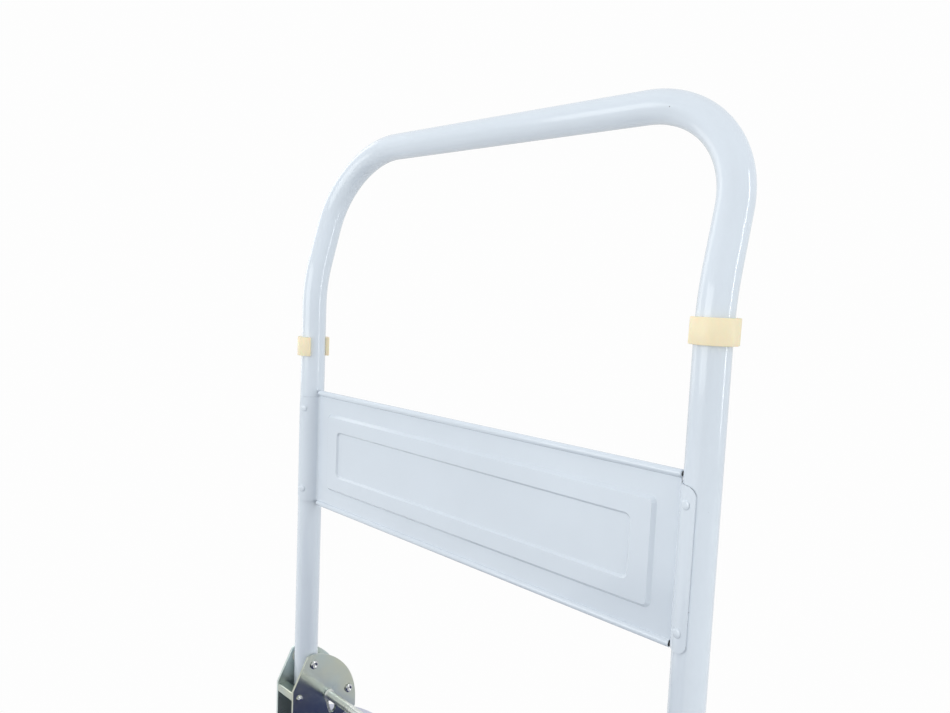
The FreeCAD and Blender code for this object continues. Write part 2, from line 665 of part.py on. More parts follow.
# ---------------------------------------------------------------- star-wheel sets
def axle_hanger():
    """The right hanger: a tapered plate down to the axle, with a top flange and two side ribs."""
    x0 = HANGER_X - HANGER_T / 2
    eye_r = 21.0
    half_top = 50.0
    top = CHANNEL_BOTTOM
    tilt = math.atan2(half_top - eye_r, top - AXLE_Z)
    touch_y = eye_r * math.cos(tilt)
    touch_z = AXLE_Z - eye_r * math.sin(tilt)
    outline = [V(x0, STAR_Y - half_top, top), V(x0, STAR_Y - touch_y, touch_z),
               V(x0, STAR_Y, AXLE_Z - eye_r), V(x0, STAR_Y + touch_y, touch_z), V(x0, STAR_Y + half_top, top)]
    edges = [Part.LineSegment(outline[0], outline[1]), Part.Arc(outline[1], outline[2], outline[3]),
             Part.LineSegment(outline[3], outline[4]), Part.LineSegment(outline[4], outline[0])]
    plate = Part.Face(Part.Wire([edge.toShape() for edge in edges])).extrude(X_AXIS * HANGER_T)
    flange = block(HANGER_X - 45, HANGER_X + HANGER_T / 2, STAR_Y - half_top, STAR_Y + half_top, top - 6, top)
    rib_face = Part.Face(Part.makePolygon([V(x0 - 38, STAR_Y, top), V(x0, STAR_Y, top),
                                           V(x0, STAR_Y, top - 70), V(x0 - 38, STAR_Y, top)]))
    ribs = []
    for offset in (-38.0, 34.0):
        rib = rib_face.extrude(Y_AXIS * 4)
        rib.translate(Y_AXIS * offset)
        ribs.append(rib)
    hanger = plate.fuse([flange] + ribs).removeSplitter()
    return hanger.cut(rod_x(x0 - 1, x0 + HANGER_T + 1, STAR_Y, AXLE_Z, AXLE_R))


def rear_axle():
    axle = rod_x(-AXLE_HALF_LENGTH, AXLE_HALF_LENGTH, STAR_Y, AXLE_Z, AXLE_R)
    ends = [edge for edge in axle.Edges if edge.Curve.TypeId == "Part::GeomCircle"]
    return axle.makeChamfer(1.5, ends)


def axle_cap():
    """Pressed cap on the axle's right end."""
    outer_r = 15.0
    shell = rod_x(AXLE_HALF_LENGTH - 4.5, AXLE_HALF_LENGTH + 2.0, STAR_Y, AXLE_Z, outer_r)
    rims = [edge for edge in shell.Edges if edge.Curve.TypeId == "Part::GeomCircle"
            and edge.CenterOfMass.x > AXLE_HALF_LENGTH]
    shell = shell.makeFillet(1.8, rims)
    return shell.cut(rod_x(AXLE_HALF_LENGTH - 5, AXLE_HALF_LENGTH, STAR_Y, AXLE_Z, AXLE_R))


def star_wheel_places(count=3):
    """Centres of the wheels of a set, first the raised one."""
    places = []
    for index in range(count):
        angle = math.radians(90 + 360 * index / count)
        places.append((STAR_Y + STAR_ARM * math.cos(angle), AXLE_Z + STAR_ARM * math.sin(angle)))
    return places


def star_plate(x):
    """One three-armed plate, from x to x + STAR_PLATE_T."""
    end = x + STAR_PLATE_T
    plate = rod_x(x, end, STAR_Y, AXLE_Z, 50.0)
    for index in range(3):
        angle = math.radians(30 + 120 * index)
        plate = plate.cut(rod_x(x - 1, end + 1, STAR_Y + 95 * math.cos(angle), AXLE_Z + 95 * math.sin(angle), 62.0))
    arm = block(x, end, STAR_Y - STAR_ARM_R, STAR_Y + STAR_ARM_R, AXLE_Z, AXLE_Z + STAR_ARM)
    for index, (y, z) in enumerate(star_wheel_places()):
        turned = arm.copy()
        turned.rotate(V(0, STAR_Y, AXLE_Z), X_AXIS, 120 * index)
        plate = plate.fuse([turned, rod_x(x, end, y, z, STAR_ARM_R)])
    holes = [rod_x(x - 1, end + 1, y, z, STAR_BOLT_R) for y, z in star_wheel_places()]
    holes.append(rod_x(x - 1, end + 1, STAR_Y, AXLE_Z, STAR_HUB_R))
    return plate.removeSplitter().cut(holes)


def star_plates():
    half = STAR_GAP / 2
    return group([star_plate(STAR_X - half - STAR_PLATE_T), star_plate(STAR_X + half)])


def star_hub():
    """The bearing tube that turns on the axle and carries both plates."""
    reach = STAR_GAP / 2 + STAR_PLATE_T + 3.0
    return ring_x(STAR_X - reach, STAR_X + reach, STAR_Y, AXLE_Z, STAR_HUB_R, AXLE_R + FIT)


def star_bolts():
    """Wheel bolts across the set, with round heads and nuts outside the plates."""
    half = STAR_GAP / 2 + STAR_PLATE_T
    profile = [(-half - 3.6, 0), (-half - 3.6, 6.5), (-half - 2.4, 8.0), (-half, 8.0), (-half, STAR_BOLT_R),
               (half, STAR_BOLT_R), (half, 8.0), (half + 2.4, 8.0), (half + 3.6, 6.5), (half + 3.6, 0)]
    return group([revolved_x(profile, STAR_X, y, z) for y, z in star_wheel_places()])


def tyre(x, y, z, outer_r, inner_r, width, crown):
    """A solid rubber tyre with a crowned tread."""
    half = width / 2
    corners = [V(x - half + 1.5, y, z + inner_r), V(x + half - 1.5, y, z + inner_r),
               V(x + half, y, z + inner_r + 2.5), V(x + half, y, z + outer_r - crown),
               V(x, y, z + outer_r), V(x - half, y, z + outer_r - crown), V(x - half, y, z + inner_r + 2.5)]
    edges = [Part.LineSegment(corners[0], corners[1]), Part.LineSegment(corners[1], corners[2]),
             Part.LineSegment(corners[2], corners[3]), Part.Arc(corners[3], corners[4], corners[5]),
             Part.LineSegment(corners[5], corners[6]), Part.LineSegment(corners[6], corners[0])]
    outline = Part.Face(Part.Wire([edge.toShape() for edge in edges]))
    return outline.revolve(V(x, y, z), X_AXIS, 360)


def rim(x, y, z, outer_r, width, hub_r, hub_half, bore_r):
    """A plastic wheel centre: hub, solid web, and a rim under the tyre."""
    half = width / 2 - 1.5
    rim_wall = 5.0
    web = half - RIM_RECESS
    profile = [(-hub_half, bore_r), (-hub_half, hub_r), (-web, hub_r + 1.0), (-web, outer_r - rim_wall),
               (-half, outer_r - rim_wall + 1.0), (-half, outer_r), (half, outer_r),
               (half, outer_r - rim_wall + 1.0), (web, outer_r - rim_wall), (web, hub_r + 1.0),
               (hub_half, hub_r), (hub_half, bore_r)]
    return revolved_x(profile, x, y, z)


# ---------------------------------------------------------------- swivel casters
def caster_bolt_places():
    return [(CASTER_X + dx, CASTER_Y + dy) for dx in (-CASTER_BOLT_X, CASTER_BOLT_X)
            for dy in (-CASTER_BOLT_Y, CASTER_BOLT_Y)]


def caster_plate():
    """Top plate with the upper half of the swivel race, right caster."""
    top = CHANNEL_BOTTOM
    bottom = top - CASTER_PLATE_T
    half_x = CASTER_BOLT_X + 13
    half_y = CASTER_BOLT_Y + 13
    plate = block(CASTER_X - half_x, CASTER_X + half_x, CASTER_Y - half_y, CASTER_Y + half_y, bottom, top)
    plate = plate.makeFillet(10.0, [edge for edge in plate.Edges if is_upright(edge)])
    race = Part.makeCone(31.0, 34.0, bottom - RACE_Z - 0.4, V(CASTER_X, CASTER_Y, RACE_Z + 0.4), Z_AXIS)
    holes = [Part.makeCylinder(4.0, 30, V(x, y, bottom - 10), Z_AXIS) for x, y in caster_bolt_places()]
    holes.append(Part.makeCylinder(CASTER_AXLE_R, 60, V(CASTER_X, CASTER_Y, bottom - 30), Z_AXIS))
    return plate.fuse(race).removeSplitter().cut(holes)


def caster_kingpin():
    """The pin that the right fork swivels on, headed under the crown and over the top plate."""
    base = V(CASTER_X, CASTER_Y, 0)
    shank = rod(base + Z_AXIS * (CROWN_Z - 1), base + Z_AXIS * (CHANNEL_BOTTOM - 0.2), CASTER_AXLE_R)
    head = Part.makeCylinder(11.0, 6.0, base + Z_AXIS * (CROWN_Z - 6.2), Z_AXIS)
    return head.fuse(shank).removeSplitter()


def caster_bolt(x, y):
    bottom = CHANNEL_BOTTOM - CASTER_PLATE_T
    head = hexagon(V(x, y, bottom - 5.3), 13.0, 5.3)
    shank = Part.makeCylinder(4.0, CASTER_PLATE_T + CHANNEL_T + 8.0, V(x, y, bottom), Z_AXIS)
    nut = hexagon(V(x, y, CHANNEL_BOTTOM + CHANNEL_T), 13.0, 6.0)
    return head.fuse([shank, nut]).removeSplitter()


def caster_fork():
    """The right caster's crown, lower race and two legs."""
    axle_y = CASTER_Y + CASTER_TRAIL
    boss_r = 15.0
    crown_front = CASTER_Y - 30
    crown_rear = CASTER_Y + 34
    crown = block(CASTER_X - FORK_HALF_GAP - FORK_T, CASTER_X + FORK_HALF_GAP + FORK_T, crown_front, crown_rear,
                  CROWN_Z, CROWN_Z + 5)
    race = Part.makeCylinder(36.0, RACE_Z - CROWN_Z, V(CASTER_X, CASTER_Y, CROWN_Z), Z_AXIS)
    pieces = [race]
    for x in (CASTER_X - FORK_HALF_GAP - FORK_T, CASTER_X + FORK_HALF_GAP):
        outline = Part.makePolygon([V(x, crown_front, CROWN_Z + 5), V(x, crown_rear, CROWN_Z + 5),
                                    V(x, axle_y + boss_r, CASTER_WHEEL_R + 4),
                                    V(x, axle_y + boss_r, CASTER_WHEEL_R), V(x, axle_y - boss_r, CASTER_WHEEL_R),
                                    V(x, axle_y - boss_r - 6, CASTER_WHEEL_R + 22),
                                    V(x, crown_front, CROWN_Z - 14), V(x, crown_front, CROWN_Z + 5)])
        pieces.append(Part.Face(outline).extrude(X_AXIS * FORK_T))
        pieces.append(rod_x(x, x + FORK_T, axle_y, CASTER_WHEEL_R, boss_r))
    fork = crown.fuse(pieces).removeSplitter()
    bore = Part.makeCylinder(CASTER_AXLE_R + FIT, 40, V(CASTER_X, CASTER_Y, CROWN_Z - 10), Z_AXIS)
    axle_hole = rod_x(CASTER_X - 40, CASTER_X + 40, axle_y, CASTER_WHEEL_R, CASTER_AXLE_R)
    return fork.cut([bore, axle_hole])


def caster_axle():
    half = FORK_HALF_GAP + FORK_T
    profile = [(-half - 6.0, 0), (-half - 6.0, 8.5), (-half - 5.0, 9.5), (-half, 9.5), (-half, CASTER_AXLE_R),
               (half, CASTER_AXLE_R), (half, 9.5), (half + 5.0, 9.5), (half + 6.0, 8.5), (half + 6.0, 0)]
    return revolved_x(profile, CASTER_X, CASTER_Y + CASTER_TRAIL, CASTER_WHEEL_R)


# ---------------------------------------------------------------- the list of pieces
def build():
    outer = swept_rod(handle_path(), TUBE_R)
    nodes = {
        "handle_tube": handle_tube(outer),
        "brace_panel": brace_panel(),
        "panel_rivets": group(shape for height in RIVET_HEIGHTS
                              for shape in (panel_rivet(height), other_side(panel_rivet(height)))),
        "right_deck_clip": deck_clip(outer, 1, RIGHT_CLIP),
        "left_deck_clip": deck_clip(outer, -1, LEFT_CLIP),
        "leg_plugs": pair(leg_plug()),
        "pivot_bushes": pair(pivot_bush()),
        "right_outer_cheek": cheek(1),
        "right_inner_cheek": cheek(-1),
        "left_outer_cheek": other_side(cheek(1)),
        "left_inner_cheek": other_side(cheek(-1)),
        "front_straps": pair(front_strap()),
        "pivot_pins": pair(cheek_rivet((0, PIVOT_ABOVE_DECK), PIN_R, PIN_R)),
        "spacer_rivets": pair(cheek_rivet(SPACER_AT, SPACER_SHANK_R, SPACER_R)),
        "stop_pins": pair(stop_pin()),
        "stop_bushes": pair(stop_bush()),
        "bracket_bolts": group(shape for point in bolt_places()
                               for shape in (bracket_bolt(point), other_side(bracket_bolt(point)))),
        "release_bar": release_bar(),
        "bar_collars": group(shape for ring in bar_collars() for shape in (ring, other_side(ring))),
        "right_bar_spring": bar_spring(),
        "left_bar_spring": other_side(bar_spring()),
        "spring_seats": pair(spring_seat()),
        "deck_plate": deck_plate(),
        "deck_mat": deck_mat(),
        "edge_bumper": edge_bumper(),
        "front_crossmember": front_crossmember(),
        "rear_crossmember": rear_crossmember(),
        "deck_rails": pair(deck_rail()),
        "axle_hangers": pair(axle_hanger()),
        "rear_axle": rear_axle(),
        "axle_caps": pair(axle_cap()),
        "caster_plates": pair(caster_plate()),
        "caster_kingpins": pair(caster_kingpin()),
        "caster_bolts": group(shape for x, y in caster_bolt_places()
                              for shape in (caster_bolt(x, y), other_side(caster_bolt(x, y)))),
    }
    for side, turn in (("right", lambda shape: shape), ("left", other_side)):
        nodes[side + "_star_plates"] = turn(star_plates())
        nodes[side + "_star_hub"] = turn(star_hub())
        nodes[side + "_star_bolts"] = turn(star_bolts())
        for index, (y, z) in enumerate(star_wheel_places(), start=1):
            tread = tyre(STAR_X, y, z, STAR_WHEEL_R, 38.0, STAR_WHEEL_WIDTH, 1.5)
            centre = rim(STAR_X, y, z, 38.0, STAR_WHEEL_WIDTH, 12.0, STAR_GAP / 2 - 0.4, STAR_BOLT_R + FIT)
            nodes[f"{side}_star_tyre_{index}"] = turn(tread)
            nodes[f"{side}_star_rim_{index}"] = turn(centre)
        axle_y = CASTER_Y + CASTER_TRAIL
        nodes[side + "_caster_fork"] = turn(caster_fork())
        nodes[side + "_caster_axle"] = turn(caster_axle())
        nodes[side + "_caster_tyre"] = turn(tyre(CASTER_X, axle_y, CASTER_WHEEL_R, CASTER_WHEEL_R, 55.0,
                                                 CASTER_WHEEL_WIDTH, 2.5))
        nodes[side + "_caster_rim"] = turn(rim(CASTER_X, axle_y, CASTER_WHEEL_R, 55.0, CASTER_WHEEL_WIDTH, 17.0,
                                               FORK_HALF_GAP - 0.5, CASTER_AXLE_R + FIT))
    return nodes


os.makedirs("parts", exist_ok=True)
for name, shape in build().items():
    shape.exportStep(f"parts/{name}.step")
    print(name, "valid" if shape.isValid() else "NOT VALID", len(shape.Solids), "solids",
          round(shape.Volume / 1000, 1), "cm3")
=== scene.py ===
"""Looks of a stair-climbing platform trolley with a folding push handle.

Every sub-assembly of the trolley is a class that holds its sizes and builds and dresses its pieces.
Lengths are metres in the trolley's own frame: +Z up, X across the deck, the handle at the +Y end.
"""
from __future__ import annotations

import json
import logging
import math
import sys
from dataclasses import dataclass, field
from enum import Enum
from typing import Iterable, Sequence

import bmesh
import bpy
from mathutils import Matrix, Vector
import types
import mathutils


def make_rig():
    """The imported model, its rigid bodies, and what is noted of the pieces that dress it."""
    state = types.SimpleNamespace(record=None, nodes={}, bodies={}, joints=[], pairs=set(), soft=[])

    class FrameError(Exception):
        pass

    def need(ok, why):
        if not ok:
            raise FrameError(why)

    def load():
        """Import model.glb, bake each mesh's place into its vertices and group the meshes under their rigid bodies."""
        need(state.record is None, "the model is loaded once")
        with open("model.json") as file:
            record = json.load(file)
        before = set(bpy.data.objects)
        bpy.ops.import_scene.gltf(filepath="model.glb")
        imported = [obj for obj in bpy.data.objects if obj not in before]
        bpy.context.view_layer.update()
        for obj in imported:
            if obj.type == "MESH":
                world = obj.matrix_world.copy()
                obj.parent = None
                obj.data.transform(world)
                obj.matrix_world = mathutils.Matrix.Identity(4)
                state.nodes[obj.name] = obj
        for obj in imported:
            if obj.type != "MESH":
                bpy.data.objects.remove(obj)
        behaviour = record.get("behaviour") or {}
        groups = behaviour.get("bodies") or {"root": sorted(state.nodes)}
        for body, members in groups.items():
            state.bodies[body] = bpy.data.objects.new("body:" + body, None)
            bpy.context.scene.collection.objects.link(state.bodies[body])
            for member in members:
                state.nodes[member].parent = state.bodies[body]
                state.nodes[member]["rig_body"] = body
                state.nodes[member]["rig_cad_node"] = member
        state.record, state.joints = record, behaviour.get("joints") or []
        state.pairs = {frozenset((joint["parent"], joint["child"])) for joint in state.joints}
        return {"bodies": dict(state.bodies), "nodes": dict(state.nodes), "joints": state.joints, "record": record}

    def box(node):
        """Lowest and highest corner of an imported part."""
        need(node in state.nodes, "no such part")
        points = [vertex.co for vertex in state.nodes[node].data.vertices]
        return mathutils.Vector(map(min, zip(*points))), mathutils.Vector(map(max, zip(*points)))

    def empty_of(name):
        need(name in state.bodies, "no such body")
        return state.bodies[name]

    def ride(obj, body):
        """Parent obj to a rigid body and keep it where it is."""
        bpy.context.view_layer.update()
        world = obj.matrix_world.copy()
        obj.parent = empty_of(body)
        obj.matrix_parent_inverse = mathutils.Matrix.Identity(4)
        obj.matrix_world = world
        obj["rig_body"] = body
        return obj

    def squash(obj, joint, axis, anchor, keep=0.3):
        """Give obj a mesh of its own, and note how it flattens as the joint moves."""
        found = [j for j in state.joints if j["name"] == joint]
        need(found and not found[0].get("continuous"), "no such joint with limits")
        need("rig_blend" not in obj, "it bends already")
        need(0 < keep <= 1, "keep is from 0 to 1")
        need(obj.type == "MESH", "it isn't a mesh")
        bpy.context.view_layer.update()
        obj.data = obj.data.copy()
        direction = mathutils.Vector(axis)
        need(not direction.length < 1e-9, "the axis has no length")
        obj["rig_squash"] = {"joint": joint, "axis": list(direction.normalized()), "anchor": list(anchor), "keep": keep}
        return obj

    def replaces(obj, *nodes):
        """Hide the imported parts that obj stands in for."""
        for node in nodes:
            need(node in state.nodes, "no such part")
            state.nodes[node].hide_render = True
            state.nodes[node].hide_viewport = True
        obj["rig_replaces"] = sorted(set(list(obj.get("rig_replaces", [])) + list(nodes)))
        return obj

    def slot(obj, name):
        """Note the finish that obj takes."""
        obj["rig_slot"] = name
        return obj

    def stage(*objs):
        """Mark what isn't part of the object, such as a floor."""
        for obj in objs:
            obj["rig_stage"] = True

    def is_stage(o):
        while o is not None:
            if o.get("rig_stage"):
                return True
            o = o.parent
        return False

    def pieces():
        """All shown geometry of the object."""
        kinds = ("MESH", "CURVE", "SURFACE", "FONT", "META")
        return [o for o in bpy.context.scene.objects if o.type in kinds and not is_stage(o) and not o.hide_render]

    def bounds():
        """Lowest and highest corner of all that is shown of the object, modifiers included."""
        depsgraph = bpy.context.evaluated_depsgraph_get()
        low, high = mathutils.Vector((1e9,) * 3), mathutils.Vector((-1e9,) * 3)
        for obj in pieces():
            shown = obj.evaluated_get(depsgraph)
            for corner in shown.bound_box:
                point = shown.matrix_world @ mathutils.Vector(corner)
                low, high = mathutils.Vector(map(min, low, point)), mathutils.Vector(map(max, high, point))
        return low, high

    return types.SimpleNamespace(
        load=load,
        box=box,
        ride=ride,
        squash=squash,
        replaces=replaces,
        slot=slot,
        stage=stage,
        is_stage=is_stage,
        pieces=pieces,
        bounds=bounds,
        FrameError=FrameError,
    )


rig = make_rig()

LOG = logging.getLogger("trolley")
SIZE_FILE = "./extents.json"
X_AXIS = Vector((1, 0, 0))
Y_AXIS = Vector((0, 1, 0))
Z_AXIS = Vector((0, 0, 1))
FULL_TURN = 2 * math.pi
SIDES = (1, -1)
SEAM = 1e-6
NEAR = 1e-5
LEG_RADIUS = 0.014
PLUG_FLANGE = 0.002
KINK_ABOVE_DECK = 0.560

Profile = Sequence[tuple[float, float]]
Colour = tuple[float, float, float]


class Body(str, Enum):
    """The rigid bodies that pieces ride on."""

    CHASSIS = "chassis"
    HANDLE = "handle"
    FOOT_BAR = "foot_bar"


# ---------------------------------------------------------------------------------------- materials
class NodeGraph:
    """A material's node tree, written one node at a time."""

    def __init__(self, name: str) -> None:
        """Starts a material with an empty tree, an output and a Principled shader.

        Args:
            name: The material's name.
        """
        self.material = bpy.data.materials.new(name)
        self.material.use_nodes = True
        self.tree = self.material.node_tree
        self.tree.nodes.clear()
        self.output = self.tree.nodes.new("ShaderNodeOutputMaterial")
        self.shader = self.tree.nodes.new("ShaderNodeBsdfPrincipled")
        self.join(self.shader.outputs["BSDF"], self.output.inputs["Surface"])
        self.place = self.tree.nodes.new("ShaderNodeTexCoord").outputs["Object"]

    def join(self, source: bpy.types.NodeSocket, target: bpy.types.NodeSocket) -> None:
        """Links two sockets."""
        self.tree.links.new(source, target)

    def set(self, **values: object) -> None:
        """Sets the shader's own sockets; underscores in the names stand for spaces."""
        for key, value in values.items():
            self.shader.inputs[key.replace("_", " ")].default_value = value

    def stretched(self, scale: Sequence[float]) -> bpy.types.NodeSocket:
        """Object coordinates stretched by a factor for each axis.

        Args:
            scale: The three factors.

        Returns:
            The socket that gives the stretched coordinates.
        """
        mapping = self.tree.nodes.new("ShaderNodeMapping")
        mapping.inputs["Scale"].default_value = scale
        self.join(self.place, mapping.inputs["Vector"])
        return mapping.outputs["Vector"]

    def noise(self, scale: float, detail: float = 3.0, place: bpy.types.NodeSocket | None = None,
              rough: float = 0.5) -> bpy.types.NodeSocket:
        """A noise field.

        Args:
            scale: Cells per metre.
            detail: Octaves.
            place: Where it is read; Object coordinates if left out.
            rough: How strong the finer octaves are.

        Returns:
            The socket with the field's value.
        """
        node = self.tree.nodes.new("ShaderNodeTexNoise")
        node.inputs["Scale"].default_value = scale
        node.inputs["Detail"].default_value = detail
        node.inputs["Roughness"].default_value = rough
        self.join(place or self.place, node.inputs["Vector"])
        return node.outputs["Fac"]

    def cells(self, scale: float) -> bpy.types.NodeSocket:
        """The distance to the nearest of scattered cell points, at that many cells per metre."""
        node = self.tree.nodes.new("ShaderNodeTexVoronoi")
        node.inputs["Scale"].default_value = scale
        self.join(self.place, node.inputs["Vector"])
        return node.outputs["Distance"]

    def ramp(self, value: bpy.types.NodeSocket, stops: Sequence[tuple[float, Sequence[float]]]
             ) -> bpy.types.NodeSocket:
        """Colours a value.

        Args:
            value: The socket to read.
            stops: Pairs of position and colour.

        Returns:
            The socket with the colour.
        """
        node = self.tree.nodes.new("ShaderNodeValToRGB")
        elements = node.color_ramp.elements
        while len(elements) < len(stops):
            elements.new(0.5)
        for element, (position, colour) in zip(elements, stops):
            element.position = position
            element.color = (*colour, 1.0)
        self.join(value, node.inputs["Fac"])
        return node.outputs["Color"]

    def spread(self, value: bpy.types.NodeSocket, low: float, high: float, start: float = 0.3,
               end: float = 0.7) -> bpy.types.NodeSocket:
        """Maps a value from one range to another.

        Args:
            value: The socket to read.
            low: The result at the start of the range.
            high: The result at its end.
            start: Where the range starts.
            end: Where it ends.

        Returns:
            The mapped socket.
        """
        node = self.tree.nodes.new("ShaderNodeMapRange")
        for key, number in (("From Min", start), ("From Max", end), ("To Min", low), ("To Max", high)):
            node.inputs[key].default_value = number
        self.join(value, node.inputs["Value"])
        return node.outputs["Result"]

    def math(self, operation: str, first: bpy.types.NodeSocket,
             second: bpy.types.NodeSocket | float) -> bpy.types.NodeSocket:
        """Combines two values with one of Blender's math operations."""
        node = self.tree.nodes.new("ShaderNodeMath")
        node.operation = operation
        self.join(first, node.inputs[0])
        if isinstance(second, (int, float)):
            node.inputs[1].default_value = second
        else:
            self.join(second, node.inputs[1])
        return node.outputs[0]

    def blend(self, share: bpy.types.NodeSocket, first: bpy.types.NodeSocket | Colour,
              second: bpy.types.NodeSocket | Colour) -> bpy.types.NodeSocket:
        """Mixes two colours by a share.

        Args:
            share: 0 gives the first colour, 1 the second.
            first: A colour or a socket.
            second: A colour or a socket.

        Returns:
            The socket with the mixed colour.
        """
        node = self.tree.nodes.new("ShaderNodeMix")
        node.data_type = "RGBA"
        self.join(share, node.inputs["Factor"])
        for key, value in (("A", first), ("B", second)):
            socket = [s for s in node.inputs if s.name == key and s.type == "RGBA"][0]
            if isinstance(value, tuple):
                socket.default_value = (*value, 1.0)
            else:
                self.join(value, socket)
        return [s for s in node.outputs if s.type == "RGBA"][0]

    def bump(self, height: bpy.types.NodeSocket, depth: float, strength: float = 1.0,
             under: bpy.types.NodeSocket | None = None) -> bpy.types.NodeSocket:
        """Turns a height field into a normal and gives it to the shader.

        Args:
            height: The field.
            depth: How deep it is, in metres.
            strength: How much of it shows.
            under: A normal to build on.

        Returns:
            The socket with the normal.
        """
        node = self.tree.nodes.new("ShaderNodeBump")
        node.inputs["Distance"].default_value = depth
        node.inputs["Strength"].default_value = strength
        self.join(height, node.inputs["Height"])
        if under is not None:
            self.join(under, node.inputs["Normal"])
        self.join(node.outputs["Normal"], self.shader.inputs["Normal"])
        return node.outputs["Normal"]

    def colour(self, socket: bpy.types.NodeSocket) -> None:
        """Gives the shader its base colour."""
        self.join(socket, self.shader.inputs["Base Color"])

    def roughness(self, socket: bpy.types.NodeSocket) -> None:
        """Gives the shader its roughness."""
        self.join(socket, self.shader.inputs["Roughness"])


_MADE: dict[str, bpy.types.Material] = {}


@dataclass(frozen=True)
class Finish:
    """A surface finish; each kind writes its own node graph."""

    name: str
    slot: str
    tone: Colour

    def material(self) -> bpy.types.Material:
        """The finish's material, made once."""
        if self.name not in _MADE:
            graph = NodeGraph(self.name)
            self.write(graph)
            _MADE[self.name] = graph.material
        return _MADE[self.name]

    def write(self, graph: NodeGraph) -> None:
        """Writes the nodes.

        Args:
            graph: The tree to write into.
        """
        raise NotImplementedError

    def shade(self, factor: float) -> Colour:
        """The tone made lighter or darker by a factor."""
        return tuple(min(1.0, channel * factor) for channel in self.tone)


@dataclass(frozen=True)
class PowderCoat(Finish):
    """Glossy baked paint: slight orange peel, faint mottling and a few dust specks."""

    gloss: float = 0.2
    coat: float = 0.35
    specular: float = 0.5
    speck_tone: Colour = (0.06, 0.05, 0.05)
    speck_size: float = 0.0

    def write(self, graph: NodeGraph) -> None:
        """Writes paint over metal with a clear, slightly rippled skin."""
        mottle = graph.noise(14.0, 4.0)
        paint = graph.ramp(mottle, ((0.3, self.shade(0.965)), (0.7, self.tone)))
        if self.speck_size > 0:
            spots = graph.cells(46.0)
            rare = graph.noise(37.0, 0.0)
            dot = graph.spread(spots, 1.0, 0.0, self.speck_size * 0.6, self.speck_size)
            chosen = graph.spread(rare, 0.0, 1.0, 0.60, 0.64)
            paint = graph.blend(graph.math("MULTIPLY", dot, chosen), paint, self.speck_tone)
        graph.colour(paint)
        graph.roughness(graph.spread(graph.noise(60.0, 4.0), self.gloss * 0.85, self.gloss * 1.25))
        peel = graph.bump(graph.noise(420.0, 2.0), 0.00002, 0.55)
        graph.bump(graph.noise(60.0, 2.0), 0.00006, 0.5, under=peel)
        graph.set(Coat_Weight=self.coat, Coat_Roughness=0.08, Specular_IOR_Level=self.specular)


@dataclass(frozen=True)
class PlatedSteel(Finish):
    """Zinc plate with a passivated skin: cloudy yellow, green and blue tints over rolled steel."""

    warm: Colour = (0.66, 0.655, 0.50)
    cool: Colour = (0.49, 0.60, 0.64)
    polish: float = 0.22
    tint: float = 0.5
    metal: float = 1.0
    grain_along: tuple[float, float, float] = (60.0, 60.0, 1100.0)

    def write(self, graph: NodeGraph) -> None:
        """Writes metal whose tint drifts in clouds, with fine rolling marks and handling scuffs."""
        drift = graph.noise(22.0, 3.0)
        clouds = graph.noise(75.0, 5.0, rough=0.6)
        tinted = graph.ramp(drift, ((0.33, self.cool), (0.5, self.tone), (0.68, self.warm)))
        share = graph.spread(clouds, self.tint * 0.5, self.tint * 1.2, 0.3, 0.7)
        graph.colour(graph.blend(share, self.tone, tinted))
        rolled = graph.noise(1.0, 3.0, graph.stretched(self.grain_along))
        scuffs = graph.spread(graph.noise(90.0, 5.0, rough=0.6), 0.0, 0.07, 0.5, 0.75)
        base = graph.spread(rolled, self.polish * 0.9, self.polish * 1.15)
        graph.roughness(graph.math("ADD", base, scuffs))
        graph.bump(graph.noise(30.0, 2.0), 0.00006, 0.3)
        graph.set(Metallic=self.metal)


@dataclass(frozen=True)
class TurnedSteel(Finish):
    """Bright plated steel, turned or drawn: fine rings and light scratches."""

    polish: float = 0.16
    metal: float = 1.0
    grain_along: tuple[float, float, float] = (2600.0, 30.0, 30.0)

    def write(self, graph: NodeGraph) -> None:
        """Writes bright metal with tool lines."""
        lines = graph.noise(1.0, 2.0, graph.stretched(self.grain_along))
        tarnish = graph.noise(120.0, 4.0)
        graph.colour(graph.ramp(tarnish, ((0.35, self.shade(0.88)), (0.65, self.shade(1.04)))))
        graph.roughness(graph.spread(lines, self.polish * 0.8, self.polish * 1.5))
        graph.bump(lines, 0.00001, 0.4)
        graph.set(Metallic=self.metal)


@dataclass(frozen=True)
class Moulding(Finish):
    """Moulded plastic or rubber: fine grain, faint flow clouds and worn high spots."""

    rough: float = 0.45
    grain: float = 900.0
    grain_depth: float = 0.00004
    cloud: float = 0.10
    soft: float = 0.0

    def write(self, graph: NodeGraph) -> None:
        """Writes a coloured solid with a fine moulded texture."""
        flow = graph.noise(26.0, 5.0, rough=0.6)
        graph.colour(graph.ramp(flow, ((0.3, self.shade(1.0 - self.cloud)), (0.7, self.shade(1.0 + self.cloud)))))
        worn = graph.noise(140.0, 4.0)
        graph.roughness(graph.spread(worn, self.rough * 0.85, min(1.0, self.rough * 1.2)))
        skin = graph.bump(graph.noise(self.grain, 2.0), self.grain_depth, 0.6)
        graph.bump(graph.noise(90.0, 3.0), self.grain_depth * 2, 0.4, under=skin)
        if self.soft > 0:
            graph.set(Subsurface_Weight=self.soft, Subsurface_Scale=0.003)


@dataclass(frozen=True)
class DustyRubber(Moulding):
    """Rubber that picks up pale dust in patches."""

    dust: Colour = (0.36, 0.34, 0.31)
    dust_share: float = 0.35

    def write(self, graph: NodeGraph) -> None:
        """Writes moulded rubber, then lays dust over its colour."""
        super().write(graph)
        base = graph.shader.inputs["Base Color"].links[0].from_socket
        patches = graph.spread(graph.noise(48.0, 6.0, rough=0.65), 0.0, self.dust_share, 0.48, 0.75)
        graph.colour(graph.blend(patches, base, self.dust))


